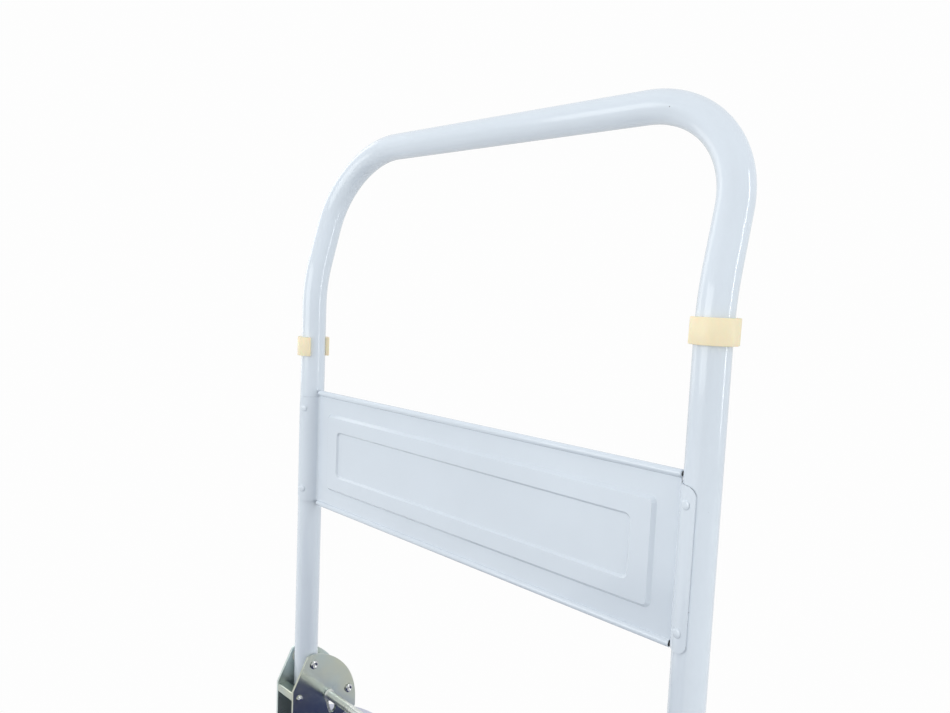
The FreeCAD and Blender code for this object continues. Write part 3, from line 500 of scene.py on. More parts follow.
class Palette:
    """The finishes of the trolley."""

    WHITE = PowderCoat("white_powder_coat", "white_paint", (0.735, 0.80, 0.875), gloss=0.15, coat=0.4,
                       speck_size=0.03)
    NAVY = PowderCoat("navy_powder_coat", "navy_paint", (0.012, 0.022, 0.125), gloss=0.42, coat=0.0,
                      specular=0.22)
    ZINC = PlatedSteel("passivated_zinc", "zinc_plate", (0.57, 0.61, 0.555), polish=0.2)
    # Paler, teal and less metallic zinc for the outer cheeks: a painted reflection standing for the bright teal sheen
    # on their inner faces.
    ZINC_PAINTED_REFLECTION = PlatedSteel("passivated_zinc_painted_reflection", "zinc_plate", (0.64, 0.72, 0.70), warm=(0.66, 0.69, 0.60),
                            cool=(0.56, 0.69, 0.73), polish=0.3, metal=0.78)
    ZINC_FORK = PlatedSteel("passivated_zinc_forks", "zinc_plate", (0.62, 0.64, 0.62), polish=0.3, tint=0.3)
    BRIGHT = TurnedSteel("bright_steel", "bright_steel", (0.66, 0.67, 0.67), polish=0.15)
    BAR = TurnedSteel("plated_bar", "plated_bar", (0.86, 0.88, 0.84), polish=0.2, metal=0.85)
    SPRING = TurnedSteel("spring_wire", "spring_steel", (0.42, 0.43, 0.45), polish=0.3,
                         grain_along=(900.0, 900.0, 900.0))
    CREAM = Moulding("cream_plastic", "cream_plastic", (0.93, 0.81, 0.56), rough=0.42, cloud=0.05, soft=0.15)
    BLACK = Moulding("black_plastic", "black_plastic", (0.018, 0.018, 0.018), rough=0.45)
    NYLON = Moulding("nylon", "nylon", (0.70, 0.69, 0.62), rough=0.4, cloud=0.03, soft=0.2)
    BUMPER = Moulding("bumper_pvc", "bumper_pvc", (0.62, 0.63, 0.74), rough=0.42, cloud=0.03, grain=1400.0)
    MAT = DustyRubber("mat_vinyl", "mat_vinyl", (0.018, 0.028, 0.075), rough=0.55, grain=1800.0,
                      dust_share=0.10)
    TYRE = DustyRubber("grey_rubber", "grey_tyre", (0.075, 0.076, 0.08), rough=0.62, grain=1300.0)
    WHEEL = Moulding("wheel_plastic", "wheel_plastic", (0.42, 0.43, 0.45), rough=0.36, cloud=0.04)


# ---------------------------------------------------------------------------------------- mesh tools
class Smith:
    """Mesh work that every sub-assembly shares."""

    SHARP = math.radians(34)

    @staticmethod
    def soften(bm: bmesh.types.BMesh, width: float, segments: int = 2, angle: float = 30.0) -> None:
        """Rounds the edges that turn by more than an angle.

        Args:
            bm: The mesh.
            width: How far the rounding reaches from each edge.
            segments: Steps across the rounding.
            angle: The smallest turn, in degrees, that counts as an edge.
        """
        least = math.radians(angle)
        edges = [edge for edge in bm.edges if len(edge.link_faces) == 2 and edge.calc_face_angle(0.0) > least]
        Smith.bevel(bm, edges, width, segments)

    @staticmethod
    def bevel(bm: bmesh.types.BMesh, edges: list[bmesh.types.BMEdge], width: float, segments: int) -> None:
        """Bevels some edges, never past one another."""
        bmesh.ops.bevel(bm, geom=edges, offset=width, segments=segments, profile=0.5, affect="EDGES",
                        clamp_overlap=True, material=-1)

    @staticmethod
    def edges_of(verts: Iterable[bmesh.types.BMVert]) -> list[bmesh.types.BMEdge]:
        """The edges that meet some vertices, each once and in a steady order."""
        return list(dict.fromkeys(edge for vert in verts for edge in vert.link_edges))

    @staticmethod
    def both_ways(half: Profile) -> list[tuple[float, float]]:
        """A profile and its mirror image about the middle of its axis, as one outline.

        Args:
            half: The positive side's points, from the middle outwards.

        Returns:
            The points from the negative end to the positive one.
        """
        return [(-along, radius) for along, radius in half[::-1]] + list(half)

    @staticmethod
    def turned(bm: bmesh.types.BMesh, profile: Profile, origin: Vector, axis: Vector, steps: int = 48,
               closed: bool = False) -> None:
        """Turns a profile about an axis, as on a lathe.

        Args:
            bm: The mesh to add to.
            profile: Pairs of distance along the axis and radius.
            origin: Where the distance is 0.
            axis: The axis.
            steps: Facets round the turn.
            closed: Whether the profile's last point joins its first, as on a ring.
        """
        axis = axis.normalized()
        side = axis.orthogonal().normalized()
        verts = [bm.verts.new(origin + axis * along + side * radius) for along, radius in profile]
        rows = list(zip(verts, verts[1:]))
        if closed:
            rows.append((verts[-1], verts[0]))
        edges = [bm.edges.new(row) for row in rows]
        bmesh.ops.spin(bm, geom=verts + edges, cent=origin, axis=axis, angle=FULL_TURN, steps=steps,
                       use_merge=True)
        bmesh.ops.remove_doubles(bm, verts=bm.verts, dist=SEAM)
        bmesh.ops.recalc_face_normals(bm, faces=bm.faces)

    @staticmethod
    def rounded(profile: Profile, radius: float, steps: int = 3) -> list[tuple[float, float]]:
        """A profile whose inner corners are rounded by short arcs.

        Args:
            profile: The corners.
            radius: How far each arc reaches from its corner, at most.
            steps: Points on each arc beyond its first.

        Returns:
            The corners and arc points.
        """
        points = [Vector(corner) for corner in profile]
        made = [points[0]]
        for before, corner, after in zip(points, points[1:], points[2:]):
            reach = min(radius, (before - corner).length * 0.45, (after - corner).length * 0.45)
            start = corner + (before - corner).normalized() * reach
            end = corner + (after - corner).normalized() * reach
            for step in range(steps + 1):
                share = step / steps
                made.append(start * (1 - share) ** 2 + corner * 2 * share * (1 - share) + end * share ** 2)
        made.append(points[-1])
        return [(point.x, point.y) for point in made]

    @staticmethod
    def prism(bm: bmesh.types.BMesh, sides: int, across_flats: float, base: Vector, height: float) -> None:
        """An upright prism, such as a hex head.

        Args:
            bm: The mesh to add to.
            sides: How many sides it has.
            across_flats: Its width.
            base: The middle of its lower face.
            height: Its height.
        """
        radius = across_flats / 2 / math.cos(math.pi / sides)
        made = bmesh.ops.create_cone(bm, cap_ends=True, segments=sides, radius1=radius, radius2=radius,
                                     depth=height, matrix=Matrix.Translation(base + Z_AXIS * height / 2))
        Smith.bevel(bm, Smith.edges_of(made["verts"]), 0.04 * across_flats, 2)

    @staticmethod
    def slab(bm: bmesh.types.BMesh, low: Vector, high: Vector, radii: tuple[float, float],
             steps: int = 14) -> None:
        """A flat slab with rounded corners.

        Args:
            bm: The mesh to add to.
            low: Its lowest corner.
            high: Its highest corner.
            radii: Corner radius at its -Y end and at its +Y end.
            steps: Facets on each corner.
        """
        corners = [Vector((low.x, low.y, low.z)), Vector((high.x, low.y, low.z)),
                   Vector((high.x, high.y, low.z)), Vector((low.x, high.y, low.z))]
        verts = [bm.verts.new(corner) for corner in corners]
        bm.faces.new(verts[::-1])
        for ends, radius in ((verts[:2], radii[0]), (verts[2:], radii[1])):
            bmesh.ops.bevel(bm, geom=ends, offset=radius, segments=steps, profile=0.5, affect="VERTICES",
                            material=-1)
        grown = bmesh.ops.extrude_face_region(bm, geom=list(bm.faces))
        raised = [item for item in grown["geom"] if isinstance(item, bmesh.types.BMVert)]
        bmesh.ops.translate(bm, verts=raised, vec=Z_AXIS * (high.z - low.z))
        bmesh.ops.recalc_face_normals(bm, faces=bm.faces)

    @staticmethod
    def mirrored(bm: bmesh.types.BMesh) -> None:
        """Adds the mesh's mirror image on the other side of the trolley."""
        copy = bmesh.ops.duplicate(bm, geom=list(bm.verts) + list(bm.edges) + list(bm.faces))["geom"]
        verts = [item for item in copy if isinstance(item, bmesh.types.BMVert)]
        faces = [item for item in copy if isinstance(item, bmesh.types.BMFace)]
        bmesh.ops.scale(bm, vec=Vector((-1, 1, 1)), verts=verts)
        bmesh.ops.reverse_faces(bm, faces=faces)

    @staticmethod
    def from_node(source: bpy.types.Object) -> bmesh.types.BMesh:
        """A merged copy of a node's mesh, its flat faces joined again.

        Args:
            source: The node's object.

        Returns:
            The mesh, ready to be softened.
        """
        bm = bmesh.new()
        bm.from_mesh(source.data)
        bmesh.ops.remove_doubles(bm, verts=bm.verts, dist=2e-6)
        bmesh.ops.dissolve_limit(bm, angle_limit=math.radians(0.6), verts=bm.verts, edges=bm.edges)
        return bm


@dataclass
class Workshop:
    """Turns meshes into dressed pieces that ride on the trolley's bodies."""

    nodes: dict[str, bpy.types.Object]
    joints: dict[str, dict]
    made: list[bpy.types.Object] = field(default_factory=list)

    def piece(self, name: str, bm: bmesh.types.BMesh, finish: Finish, body: str,
              replaces: Iterable[str] = (), wall: float = 0.0, sharp: float = Smith.SHARP) -> bpy.types.Object:
        """Finishes one piece.

        Args:
            name: The piece's name.
            bm: Its mesh, freed here.
            finish: Its surface finish.
            body: The body it rides on.
            replaces: The nodes it stands for.
            wall: Thickness given inwards to an open sheet or tube, or 0.
            sharp: Edges that turn by more than this, in radians, are shaded as edges.

        Returns:
            The object.
        """
        for face in bm.faces:
            face.smooth = True
            face.material_index = 0
        for edge in bm.edges:
            edge.smooth = len(edge.link_faces) < 2 or edge.calc_face_angle(0.0) < sharp
        mesh = bpy.data.meshes.new(name)
        bm.to_mesh(mesh)
        bm.free()
        thing = bpy.data.objects.new(name, mesh)
        bpy.context.scene.collection.objects.link(thing)
        mesh.materials.append(finish.material())
        if wall > 0:
            skin = thing.modifiers.new("wall", "SOLIDIFY")
            skin.thickness = wall
            skin.offset = -1.0
            skin.use_even_offset = True
        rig.ride(thing, body)
        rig.slot(thing, finish.slot)
        stands_for = list(replaces)
        if stands_for:
            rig.replaces(thing, *stands_for)
        self.made.append(thing)
        LOG.info("%s: %d faces on %s, for %s", name, len(mesh.polygons), body, stands_for or "itself")
        return thing

    def refined(self, node: str, finish: Finish, body: str, width: float, segments: int = 2,
                angle: float = 30.0) -> bpy.types.Object:
        """A node's own shape with its edges rounded, standing for that node.

        Args:
            node: The node.
            finish: Its surface finish.
            body: The body it rides on.
            width: How far the rounding reaches.
            segments: Steps across the rounding.
            angle: The smallest turn, in degrees, that is rounded.

        Returns:
            The object.
        """
        bm = Smith.from_node(self.nodes[node])
        Smith.soften(bm, width, segments, angle)
        thing = self.piece(f"{node}_shape", bm, finish, body, [node])
        self.even_shading(thing)
        return thing

    @staticmethod
    def even_shading(thing: bpy.types.Object) -> None:
        """Lets a piece's large flat faces shade flat up to their rounded edges.

        Args:
            thing: The piece.
        """
        shading = thing.modifiers.new("shading", "WEIGHTED_NORMAL")
        shading.mode = "FACE_AREA"
        shading.weight = 80
        shading.keep_sharp = True


class Runner:
    """Carries an open or closed ring of edges along straight runs and bends."""

    def __init__(self, bm: bmesh.types.BMesh, ring: list[bmesh.types.BMEdge], place: Vector,
                 heading: Vector) -> None:
        """Starts a run.

        Args:
            bm: The mesh that grows.
            ring: The edges of the cross-section.
            place: The path's first point.
            heading: The path's first direction.
        """
        self.bm = bm
        self.ring = ring
        self.place = place.copy()
        self.heading = heading.normalized()

    def straight(self, length: float, parts: int = 1) -> None:
        """Goes on in a straight line.

        Args:
            length: How far.
            parts: Equal steps on the way.
        """
        for _ in range(parts):
            step = self.heading * (length / parts)
            grown = bmesh.ops.extrude_edge_only(self.bm, edges=self.ring)["geom"]
            verts = [item for item in grown if isinstance(item, bmesh.types.BMVert)]
            self.ring = [item for item in grown if isinstance(item, bmesh.types.BMEdge)]
            bmesh.ops.translate(self.bm, verts=verts, vec=step)
            self.place += step

    def bend(self, angle: float, radius: float, towards: Vector, steps: int) -> None:
        """Goes round a bend.

        Args:
            angle: How far the heading turns, in radians.
            radius: The bend radius of the path.
            towards: The side that the bend's centre is on.
            steps: Facets along the bend.
        """
        inward = (towards - self.heading * towards.dot(self.heading)).normalized()
        axis = self.heading.cross(inward)
        centre = self.place + inward * radius
        turned = bmesh.ops.spin(self.bm, geom=self.ring, cent=centre, axis=axis, angle=angle, steps=steps)
        self.ring = [item for item in turned["geom_last"] if isinstance(item, bmesh.types.BMEdge)]
        turn = Matrix.Rotation(angle, 3, axis)
        self.place = centre + turn @ (self.place - centre)
        self.heading = turn @ self.heading

    def join_start(self, first: list[bmesh.types.BMEdge]) -> None:
        """Closes the run on its own first ring."""
        verts = dict.fromkeys(vert for edge in self.ring + first for vert in edge.verts)
        bmesh.ops.remove_doubles(self.bm, verts=list(verts), dist=NEAR)


# ---------------------------------------------------------------------------------------- handle
@dataclass
class PushHandle:
    """The folding U handle: bent tube, brace panel with rolled edges and ears, clips and fittings."""

    shop: Workshop
    pivot: Vector
    leg_x: float
    tube_radius: float
    foot_z: float
    tube_wall: float = 0.002
    kink_above_pivot: float = 0.465
    kink_angle: float = math.radians(15)
    kink_bend: float = 0.199
    crank_length: float = 0.162
    top_bend: float = 0.092
    ring_sides: int = 72
    sheet: float = 0.0012
    panel_low: float = 0.20325
    panel_high: float = 0.33575
    roll_radius: float = 0.00325
    roll_turn: float = math.radians(325)
    roll_reach: float = 0.2365
    step_half: float = 0.217
    step_low: float = 0.224
    step_high: float = 0.314
    step_depth: float = 0.003
    pan_half: float = 0.1965
    pan_low: float = 0.242
    pan_high: float = 0.296
    pan_depth: float = 0.002
    emboss_corner: float = 0.006
    ear_low: float = 0.205
    ear_high: float = 0.331
    ear_wrap: float = math.radians(102)
    ear_corner: float = 0.008
    ear_bend: float = 0.0025
    ear_flare: float = 0.5
    ear_gap: float = 0.0001
    rivet_wrap: float = math.radians(71)
    rivet_radius: float = 0.0038
    rivet_heights: tuple[float, float] = (0.220, 0.317)
    clip_wall: float = 0.0045
    clip_mouth: float = math.radians(90)

    def build(self) -> None:
        """Builds and dresses every piece of the handle."""
        self.tube()
        self.panel()
        self.bead_end_shade()
        self.rivets()
        for side, name in ((1, "right_deck_clip"), (-1, "left_deck_clip")):
            self.clip(side, name)
        self.plugs()
        self.bushes()

    def tube(self) -> None:
        """One tube from foot to foot: kink, corner, top bar, corner, kink."""
        bm = bmesh.new()
        start = Vector((self.leg_x, self.pivot.y, self.foot_z))
        bmesh.ops.create_circle(bm, segments=self.ring_sides, radius=self.tube_radius,
                                matrix=Matrix.Translation(start))
        run = Runner(bm, list(bm.edges), start, Z_AXIS)
        kink_reach = self.kink_bend * math.tan(self.kink_angle / 2)
        leg = self.pivot.z + self.kink_above_pivot - kink_reach - self.foot_z
        crank = self.crank_length - kink_reach - self.top_bend
        up_crank = Matrix.Rotation(-self.kink_angle, 3, "X") @ Z_AXIS
        run.straight(leg, 12)
        run.bend(self.kink_angle, self.kink_bend, Y_AXIS, 12)
        run.straight(crank)
        run.bend(math.pi / 2, self.top_bend, -X_AXIS, 36)
        run.straight(2 * (self.leg_x - self.top_bend), 8)
        run.bend(math.pi / 2, self.top_bend, -up_crank, 36)
        run.straight(crank)
        run.bend(self.kink_angle, self.kink_bend, Y_AXIS, 12)
        run.straight(leg, 12)
        bmesh.ops.recalc_face_normals(bm, faces=bm.faces)
        self.shop.piece("handle_tube_bent", bm, Palette.WHITE, Body.HANDLE, ["handle_tube"], wall=self.tube_wall)

    def panel(self) -> None:
        """The pressed sheet between the legs."""
        bm = bmesh.new()
        face_y = self.pivot.y - self.sheet / 2
        low = self.pivot.z + self.panel_low
        high = self.pivot.z + self.panel_high
        roll_meet = self.roll_meet()
        corners = [(-self.roll_reach, low + roll_meet), (self.roll_reach, low + roll_meet),
                   (self.roll_reach, high - roll_meet), (-self.roll_reach, high - roll_meet)]
        bm.faces.new([bm.verts.new((x, face_y, z)) for x, z in corners])
        self.emboss(bm)
        self.cut_ears(bm)
        self.roll_edges(bm, low, high, roll_meet)
        for side in SIDES:
            self.wrap_ear(bm, side)
        bmesh.ops.remove_doubles(bm, verts=bm.verts, dist=SEAM)
        bmesh.ops.recalc_face_normals(bm, faces=bm.faces)
        middle = max(bm.faces, key=lambda face: face.calc_area())
        if middle.normal.y > 0:
            bmesh.ops.reverse_faces(bm, faces=bm.faces)
        thing = self.shop.piece("brace_panel_pressed", bm, Palette.WHITE, Body.HANDLE, ["brace_panel"],
                                wall=self.sheet, sharp=math.radians(50))
        thing.modifiers["wall"].use_even_offset = False
        self.shop.even_shading(thing)

    @staticmethod
    def cut(bm: bmesh.types.BMesh, faces: list[bmesh.types.BMFace], place: Vector, normal: Vector) -> None:
        """Draws a line across some faces, where a plane meets them."""
        geom = dict.fromkeys(item for face in faces for item in (*face.verts, *face.edges, face))
        bmesh.ops.bisect_plane(bm, geom=list(geom), dist=1e-7, plane_co=place, plane_no=normal)

    @staticmethod
    def field_face(bm: bmesh.types.BMesh, half: float, low: float, high: float) -> bmesh.types.BMFace:
        """The largest face whose middle lies inside a rectangle on the panel."""
        inside = [face for face in bm.faces if abs(face.calc_center_median().x) < half
                  and low < face.calc_center_median().z < high]
        return max(inside, key=lambda face: face.calc_area())

    def emboss(self, bm: bmesh.types.BMesh) -> None:
        """Presses the raised step, then the pan inside it, into the flat sheet."""
        stages = ((self.step_half, self.step_low, self.step_high, self.step_depth),
                  (self.pan_half, self.pan_low, self.pan_high, -self.pan_depth))
        for half, low, high, depth in stages:
            z0 = self.pivot.z + low
            z1 = self.pivot.z + high
            for place, normal in ((Vector((half, 0, 0)), X_AXIS), (Vector((-half, 0, 0)), X_AXIS),
                                  (Vector((0, 0, z0)), Z_AXIS), (Vector((0, 0, z1)), Z_AXIS)):
                self.cut(bm, [self.field_face(bm, half, z0, z1)], place, normal)
            centre = self.field_face(bm, half, z0, z1)
            bmesh.ops.bevel(bm, geom=list(centre.verts), offset=self.emboss_corner, segments=5, profile=0.5,
                            affect="VERTICES", material=-1)
            centre = self.field_face(bm, half, z0, z1)
            bmesh.ops.inset_region(bm, faces=[centre], thickness=abs(depth), depth=depth, use_even_offset=True)
        Smith.soften(bm, 0.0011, 4, 25.0)

    def cut_ears(self, bm: bmesh.types.BMesh) -> None:
        """Takes away the sheet's ends where the ears start, between the two rolled edges."""
        start = self.ear_start()
        for side in SIDES:
            end = [face for face in bm.faces if max(side * vert.co.x for vert in face.verts)
                   > self.step_half + 0.001]
            self.cut(bm, end, Vector((side * start, 0, 0)), X_AXIS)
            for height in (self.ear_low, self.ear_high):
                end = [face for face in bm.faces if side * face.calc_center_median().x > start]
                self.cut(bm, end, Vector((0, 0, self.pivot.z + height)), Z_AXIS)
            gone = [face for face in bm.faces if side * face.calc_center_median().x > start
                    and self.ear_low < face.calc_center_median().z - self.pivot.z < self.ear_high]
            bmesh.ops.delete(bm, geom=gone, context="FACES")

    def ear_outer(self) -> float:
        """The ear's outer radius about the leg."""
        return self.tube_radius + self.ear_gap + self.sheet

    def ear_start(self) -> float:
        """Where the flat sheet ends and the bend into the ear starts, from the trolley's centre."""
        outer = self.ear_outer()
        drop = self.sheet / 2 + self.ear_bend
        return self.leg_x - math.sqrt((outer + self.ear_bend) ** 2 - drop ** 2)

    def roll_meet(self) -> float:
        """How far from a bead's axis the flat sheet runs into it."""
        return math.sqrt(self.roll_radius ** 2 - (self.sheet / 2) ** 2)

    def roll_edges(self, bm: bmesh.types.BMesh, low: float, high: float, meet: float) -> None:
        """Rolls the sheet's long edges into hollow beads."""
        for centre_z, edge_z, towards in ((low, low + meet, 1), (high, high - meet, -1)):
            edges = [edge for edge in bm.edges if edge.is_boundary
                     and all(abs(vert.co.z - edge_z) < NEAR for vert in edge.verts)]
            centre = Vector((0, self.pivot.y, centre_z))
            bmesh.ops.spin(bm, geom=edges, cent=centre, axis=X_AXIS * towards, angle=self.roll_turn, steps=22)

    def wrap_ear(self, bm: bmesh.types.BMesh, side: int) -> None:
        """Bends one end of the sheet forwards and round the front of its leg.

        Args:
            bm: The panel's mesh.
            side: 1 for the right leg, -1 for the left.
        """
        start = self.ear_start()
        outer = self.ear_outer()
        lean = math.asin((self.sheet / 2 + self.ear_bend) / (outer + self.ear_bend))
        root = self.pivot.z + self.panel_low + self.roll_meet()
        top = self.pivot.z + self.ear_high
        edges = [edge for edge in bm.edges if edge.is_boundary
                 and all(abs(vert.co.x - side * start) < NEAR and root - NEAR < vert.co.z < top + NEAR
                         for vert in edge.verts)
                 and abs(edge.verts[0].co.z - edge.verts[1].co.z) > 10 * NEAR]
        run = Runner(bm, edges, Vector((side * start, self.pivot.y - self.sheet / 2, self.pivot.z)),
                     X_AXIS * side)
        before = set(bm.verts)
        run.bend(math.pi / 2 - lean, self.ear_bend, -Y_AXIS, 8)
        run.bend(self.ear_wrap - lean, outer, X_AXIS * side, 64)
        foot = self.pivot.z + self.ear_low
        for vert in set(bm.verts) - before:
            around = math.atan2(self.pivot.y - vert.co.y, self.leg_x - side * vert.co.x)
            low = foot + (root - foot) * max(0.0, 1 - around / self.ear_flare)
            into = max(0.0, self.ear_corner - (self.ear_wrap - around) * outer)
            lift = self.ear_corner - math.sqrt(max(0.0, self.ear_corner ** 2 - into ** 2))
            share = (vert.co.z - root) / (top - root)
            vert.co.z = low + lift + share * (top - low - 2 * lift)

    def bead_end_shade(self) -> None:
        """Black plugs just inside the ends of the rolled edges: painted shade that stands for the dark hollow inside
        the beads.
        """
        radius = self.roll_radius - self.sheet - 0.00003
        bm = bmesh.new()
        for height in (self.panel_low, self.panel_high):
            profile = [(0.0, 0.0), (0.0, radius), (0.008, radius), (0.008, 0.0)]
            end = Vector((self.roll_reach - 0.0082, self.pivot.y, self.pivot.z + height))
            Smith.turned(bm, profile, end, X_AXIS, 24)
        Smith.mirrored(bm)
        # The black discs are painted shade for the hollow inside each bead end.
        self.shop.piece("bead_end_painted_shade", bm, Palette.BLACK, Body.HANDLE)

    def rivets(self) -> None:
        """Domed rivets that hold the ears to the legs."""
        bm = bmesh.new()
        outward = Vector((-math.cos(self.rivet_wrap), -math.sin(self.rivet_wrap), 0))
        profile = Smith.rounded([(-0.0002, self.rivet_radius), (0.0003, self.rivet_radius),
                                 (0.0009, self.rivet_radius * 0.72), (0.00115, self.rivet_radius * 0.3),
                                 (0.0012, 0.0)], 0.0009)
        for height in self.rivet_heights:
            seat = Vector((self.leg_x, self.pivot.y, self.pivot.z + height)) + outward * self.ear_outer()
            Smith.turned(bm, profile, seat, outward, 32)
        Smith.mirrored(bm)
        self.shop.piece("ear_rivets", bm, Palette.WHITE, Body.HANDLE, ["panel_rivets"])

    def clip(self, side: int, node: str) -> None:
        """A plastic C-ring on a leg, its mouth towards the trolley's centre.

        Args:
            side: 1 for the right leg, -1 for the left.
            node: The node it stands for.
        """
        low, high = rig.box(node)
        bm = bmesh.new()
        centre = Vector((side * self.leg_x, self.pivot.y, low.z))
        inner = self.tube_radius
        outer = self.tube_radius + self.clip_wall
        first_angle = (math.pi if side > 0 else 0.0) + self.clip_mouth / 2
        direction = Vector((math.cos(first_angle), math.sin(first_angle), 0))
        section = [(inner, 0.0), (outer, 0.0), (outer, high.z - low.z), (inner, high.z - low.z)]
        verts = [bm.verts.new(centre + direction * radius + Z_AXIS * up) for radius, up in section]
        face = bm.faces.new(verts)
        bmesh.ops.spin(bm, geom=[face], cent=centre, axis=Z_AXIS, angle=FULL_TURN - self.clip_mouth, steps=54)
        bmesh.ops.recalc_face_normals(bm, faces=bm.faces)
        Smith.soften(bm, 0.0007, 3, 40.0)
        self.follow_kink(bm)
        self.shop.piece(f"{node}_ring", bm, Palette.CREAM, Body.HANDLE, [node])

    def follow_kink(self, bm: bmesh.types.BMesh) -> None:
        """Shifts a clip's upper part so that it hugs the leg where the kink starts."""
        bend_start = self.pivot.z + self.kink_above_pivot - self.kink_bend * math.tan(self.kink_angle / 2)
        for vert in bm.verts:
            rise = vert.co.z - bend_start
            if rise > 0:
                vert.co.y += self.kink_bend - math.sqrt(self.kink_bend ** 2 - rise ** 2)

    def plugs(self) -> None:
        """End pieces in the feet of the legs."""
        low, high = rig.box("leg_plugs")
        flange = self.foot_z - low.z
        bore = self.tube_radius - self.tube_wall
        bm = bmesh.new()
        profile = Smith.rounded([(0.0, 0.0), (0.0, self.tube_radius), (flange, self.tube_radius), (flange, bore),
                                 (high.z - low.z, bore), (high.z - low.z, bore - 0.002),
                                 (2 * flange, bore - 0.002), (2 * flange, 0.0)], 0.0005)
        Smith.turned(bm, profile, Vector((self.leg_x, self.pivot.y, low.z)), Z_AXIS, 48)
        Smith.mirrored(bm)
        self.shop.piece("leg_end_plugs", bm, Palette.BLACK, Body.HANDLE, ["leg_plugs"])

    def bushes(self) -> None:
        """Flanged sleeves in the legs, round the pivot pins."""
        self.shop.refined("pivot_bushes", Palette.NYLON, Body.HANDLE, 0.0002)


# ---------------------------------------------------------------------------------------- hinge brackets
@dataclass
class HingeBrackets:
    """The two plated brackets that the handle folds in, with their pins, straps and bolts."""

    shop: Workshop
    leg_x: float
    leg_y: float
    deck_z: float
    gap: float = 0.0153
    cheek: float = 0.003
    head_radius: float = 0.0055
    head_height: float = 0.0026
    pin_radius: float = 0.004
    spacer_radius: float = 0.005
    spacer_shank: float = 0.003
    stop_radius: float = 0.003
    bush_radius: float = 0.006
    pivot_at: tuple[float, float] = (0.0, 0.095)
    spacer_at: tuple[float, float] = (0.0529, 0.046)
    stop_at: tuple[float, float] = (-0.0201, 0.0585)
    bolt_flats: float = 0.010
    thread_pitch: float = 0.001

    def build(self) -> None:
        """Builds and dresses both brackets."""
        for side in ("right", "left"):
            for which in ("outer", "inner"):
                # The outer cheeks take the paler zinc, which is a painted reflection; the inner cheeks take plain zinc.
                finish = Palette.ZINC_PAINTED_REFLECTION if which == "outer" else Palette.ZINC
                self.shop.refined(f"{side}_{which}_cheek", finish, Body.CHASSIS, 0.0005, 2)
        self.shop.refined("front_straps", Palette.ZINC, Body.CHASSIS, 0.0004, 2)
        self.headed_pins("pivot_pins", self.pivot_at, self.pin_radius, self.pin_radius)
        self.headed_pins("spacer_rivets", self.spacer_at, self.spacer_shank, self.spacer_radius)
        self.stop_pins()
        self.stop_bushes()
        self.bolts()

    def at(self, place: tuple[float, float]) -> Vector:
        """A place given as distance behind the right leg's axis and height above the deck."""
        return Vector((self.leg_x, self.leg_y + place[0], self.deck_z + place[1]))

    def headed_pins(self, node: str, place: tuple[float, float], shank: float, spacer: float) -> None:
        """A pin through both cheeks with riveted heads, on each side.

        Args:
            node: The node it stands for.
            place: Where its axis is.
            shank: Its radius inside the cheeks.
            spacer: Its radius between the cheeks.
        """
        out = self.gap + self.cheek
        head = out + self.head_height
        half = [(self.gap, spacer), (self.gap, shank), (out, shank), (out, self.head_radius),
                (head - 0.0010, self.head_radius), (head, self.head_radius - 0.0016), (head, 0.0027),
                (head - 0.0011, 0.0013), (head - 0.0011, 0.0)]
        if shank == spacer:
            half = half[2:]
        bm = bmesh.new()
        Smith.turned(bm, Smith.rounded(Smith.both_ways(half), 0.0006), self.at(place), X_AXIS, 40)
        Smith.mirrored(bm)
        self.shop.piece(f"{node}_turned", bm, Palette.BRIGHT, Body.CHASSIS, [node])

    def stop_pins(self) -> None:
        """Stepped pins in front of the legs."""
        out = self.gap + self.cheek
        profile = [(-out - 0.0032, 0.0), (-out - 0.0032, 0.0026), (-out - 0.0016, 0.0026), (-out - 0.0016, 0.0042),
                   (-out, 0.0042), (-out, self.stop_radius), (out, self.stop_radius), (out, 0.0042),
                   (out + 0.0020, 0.0042), (out + 0.0020, 0.0)]
        bm = bmesh.new()
        Smith.turned(bm, Smith.rounded(profile, 0.0005), self.at(self.stop_at), X_AXIS, 36)
        Smith.mirrored(bm)
        self.shop.piece("stop_pins_turned", bm, Palette.BRIGHT, Body.CHASSIS, ["stop_pins"])

    def stop_bushes(self) -> None:
        """Plastic rollers on the stop pins, between the cheeks."""
        reach = self.gap - 0.0003
        ring = [(-reach, self.stop_radius), (-reach, self.bush_radius - 0.0007),
                (-reach + 0.0007, self.bush_radius), (reach - 0.0007, self.bush_radius),
                (reach, self.bush_radius - 0.0007), (reach, self.stop_radius)]
        bm = bmesh.new()
        Smith.turned(bm, ring, self.at(self.stop_at), X_AXIS, 36, closed=True)
        Smith.mirrored(bm)
        self.shop.piece("stop_bushes_turned", bm, Palette.NYLON, Body.CHASSIS, ["stop_bushes"])

    def bolts(self) -> None:
        """Hex bolts, washers and nuts through the bracket feet."""
        low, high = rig.box("bracket_bolts")
        out = self.gap + self.cheek
        inner_x = self.leg_x - out - 0.01325
        outer_x = self.leg_x + out + 0.0076
        places = [(inner_x, -0.018), (inner_x, 0.030), (outer_x, -0.020), (outer_x, 0.008)]
        bm = bmesh.new()
        for x, behind in places:
            base = Vector((x, self.leg_y + behind, low.z))
            Fastener(base, high.z, self.deck_z - 0.005, 0.003, self.bolt_flats, 0.004, 0.0012,
                     self.thread_pitch).add(bm)
        Smith.mirrored(bm)
        self.shop.piece("bracket_bolts_threaded", bm, Palette.BRIGHT, Body.CHASSIS, ["bracket_bolts"])


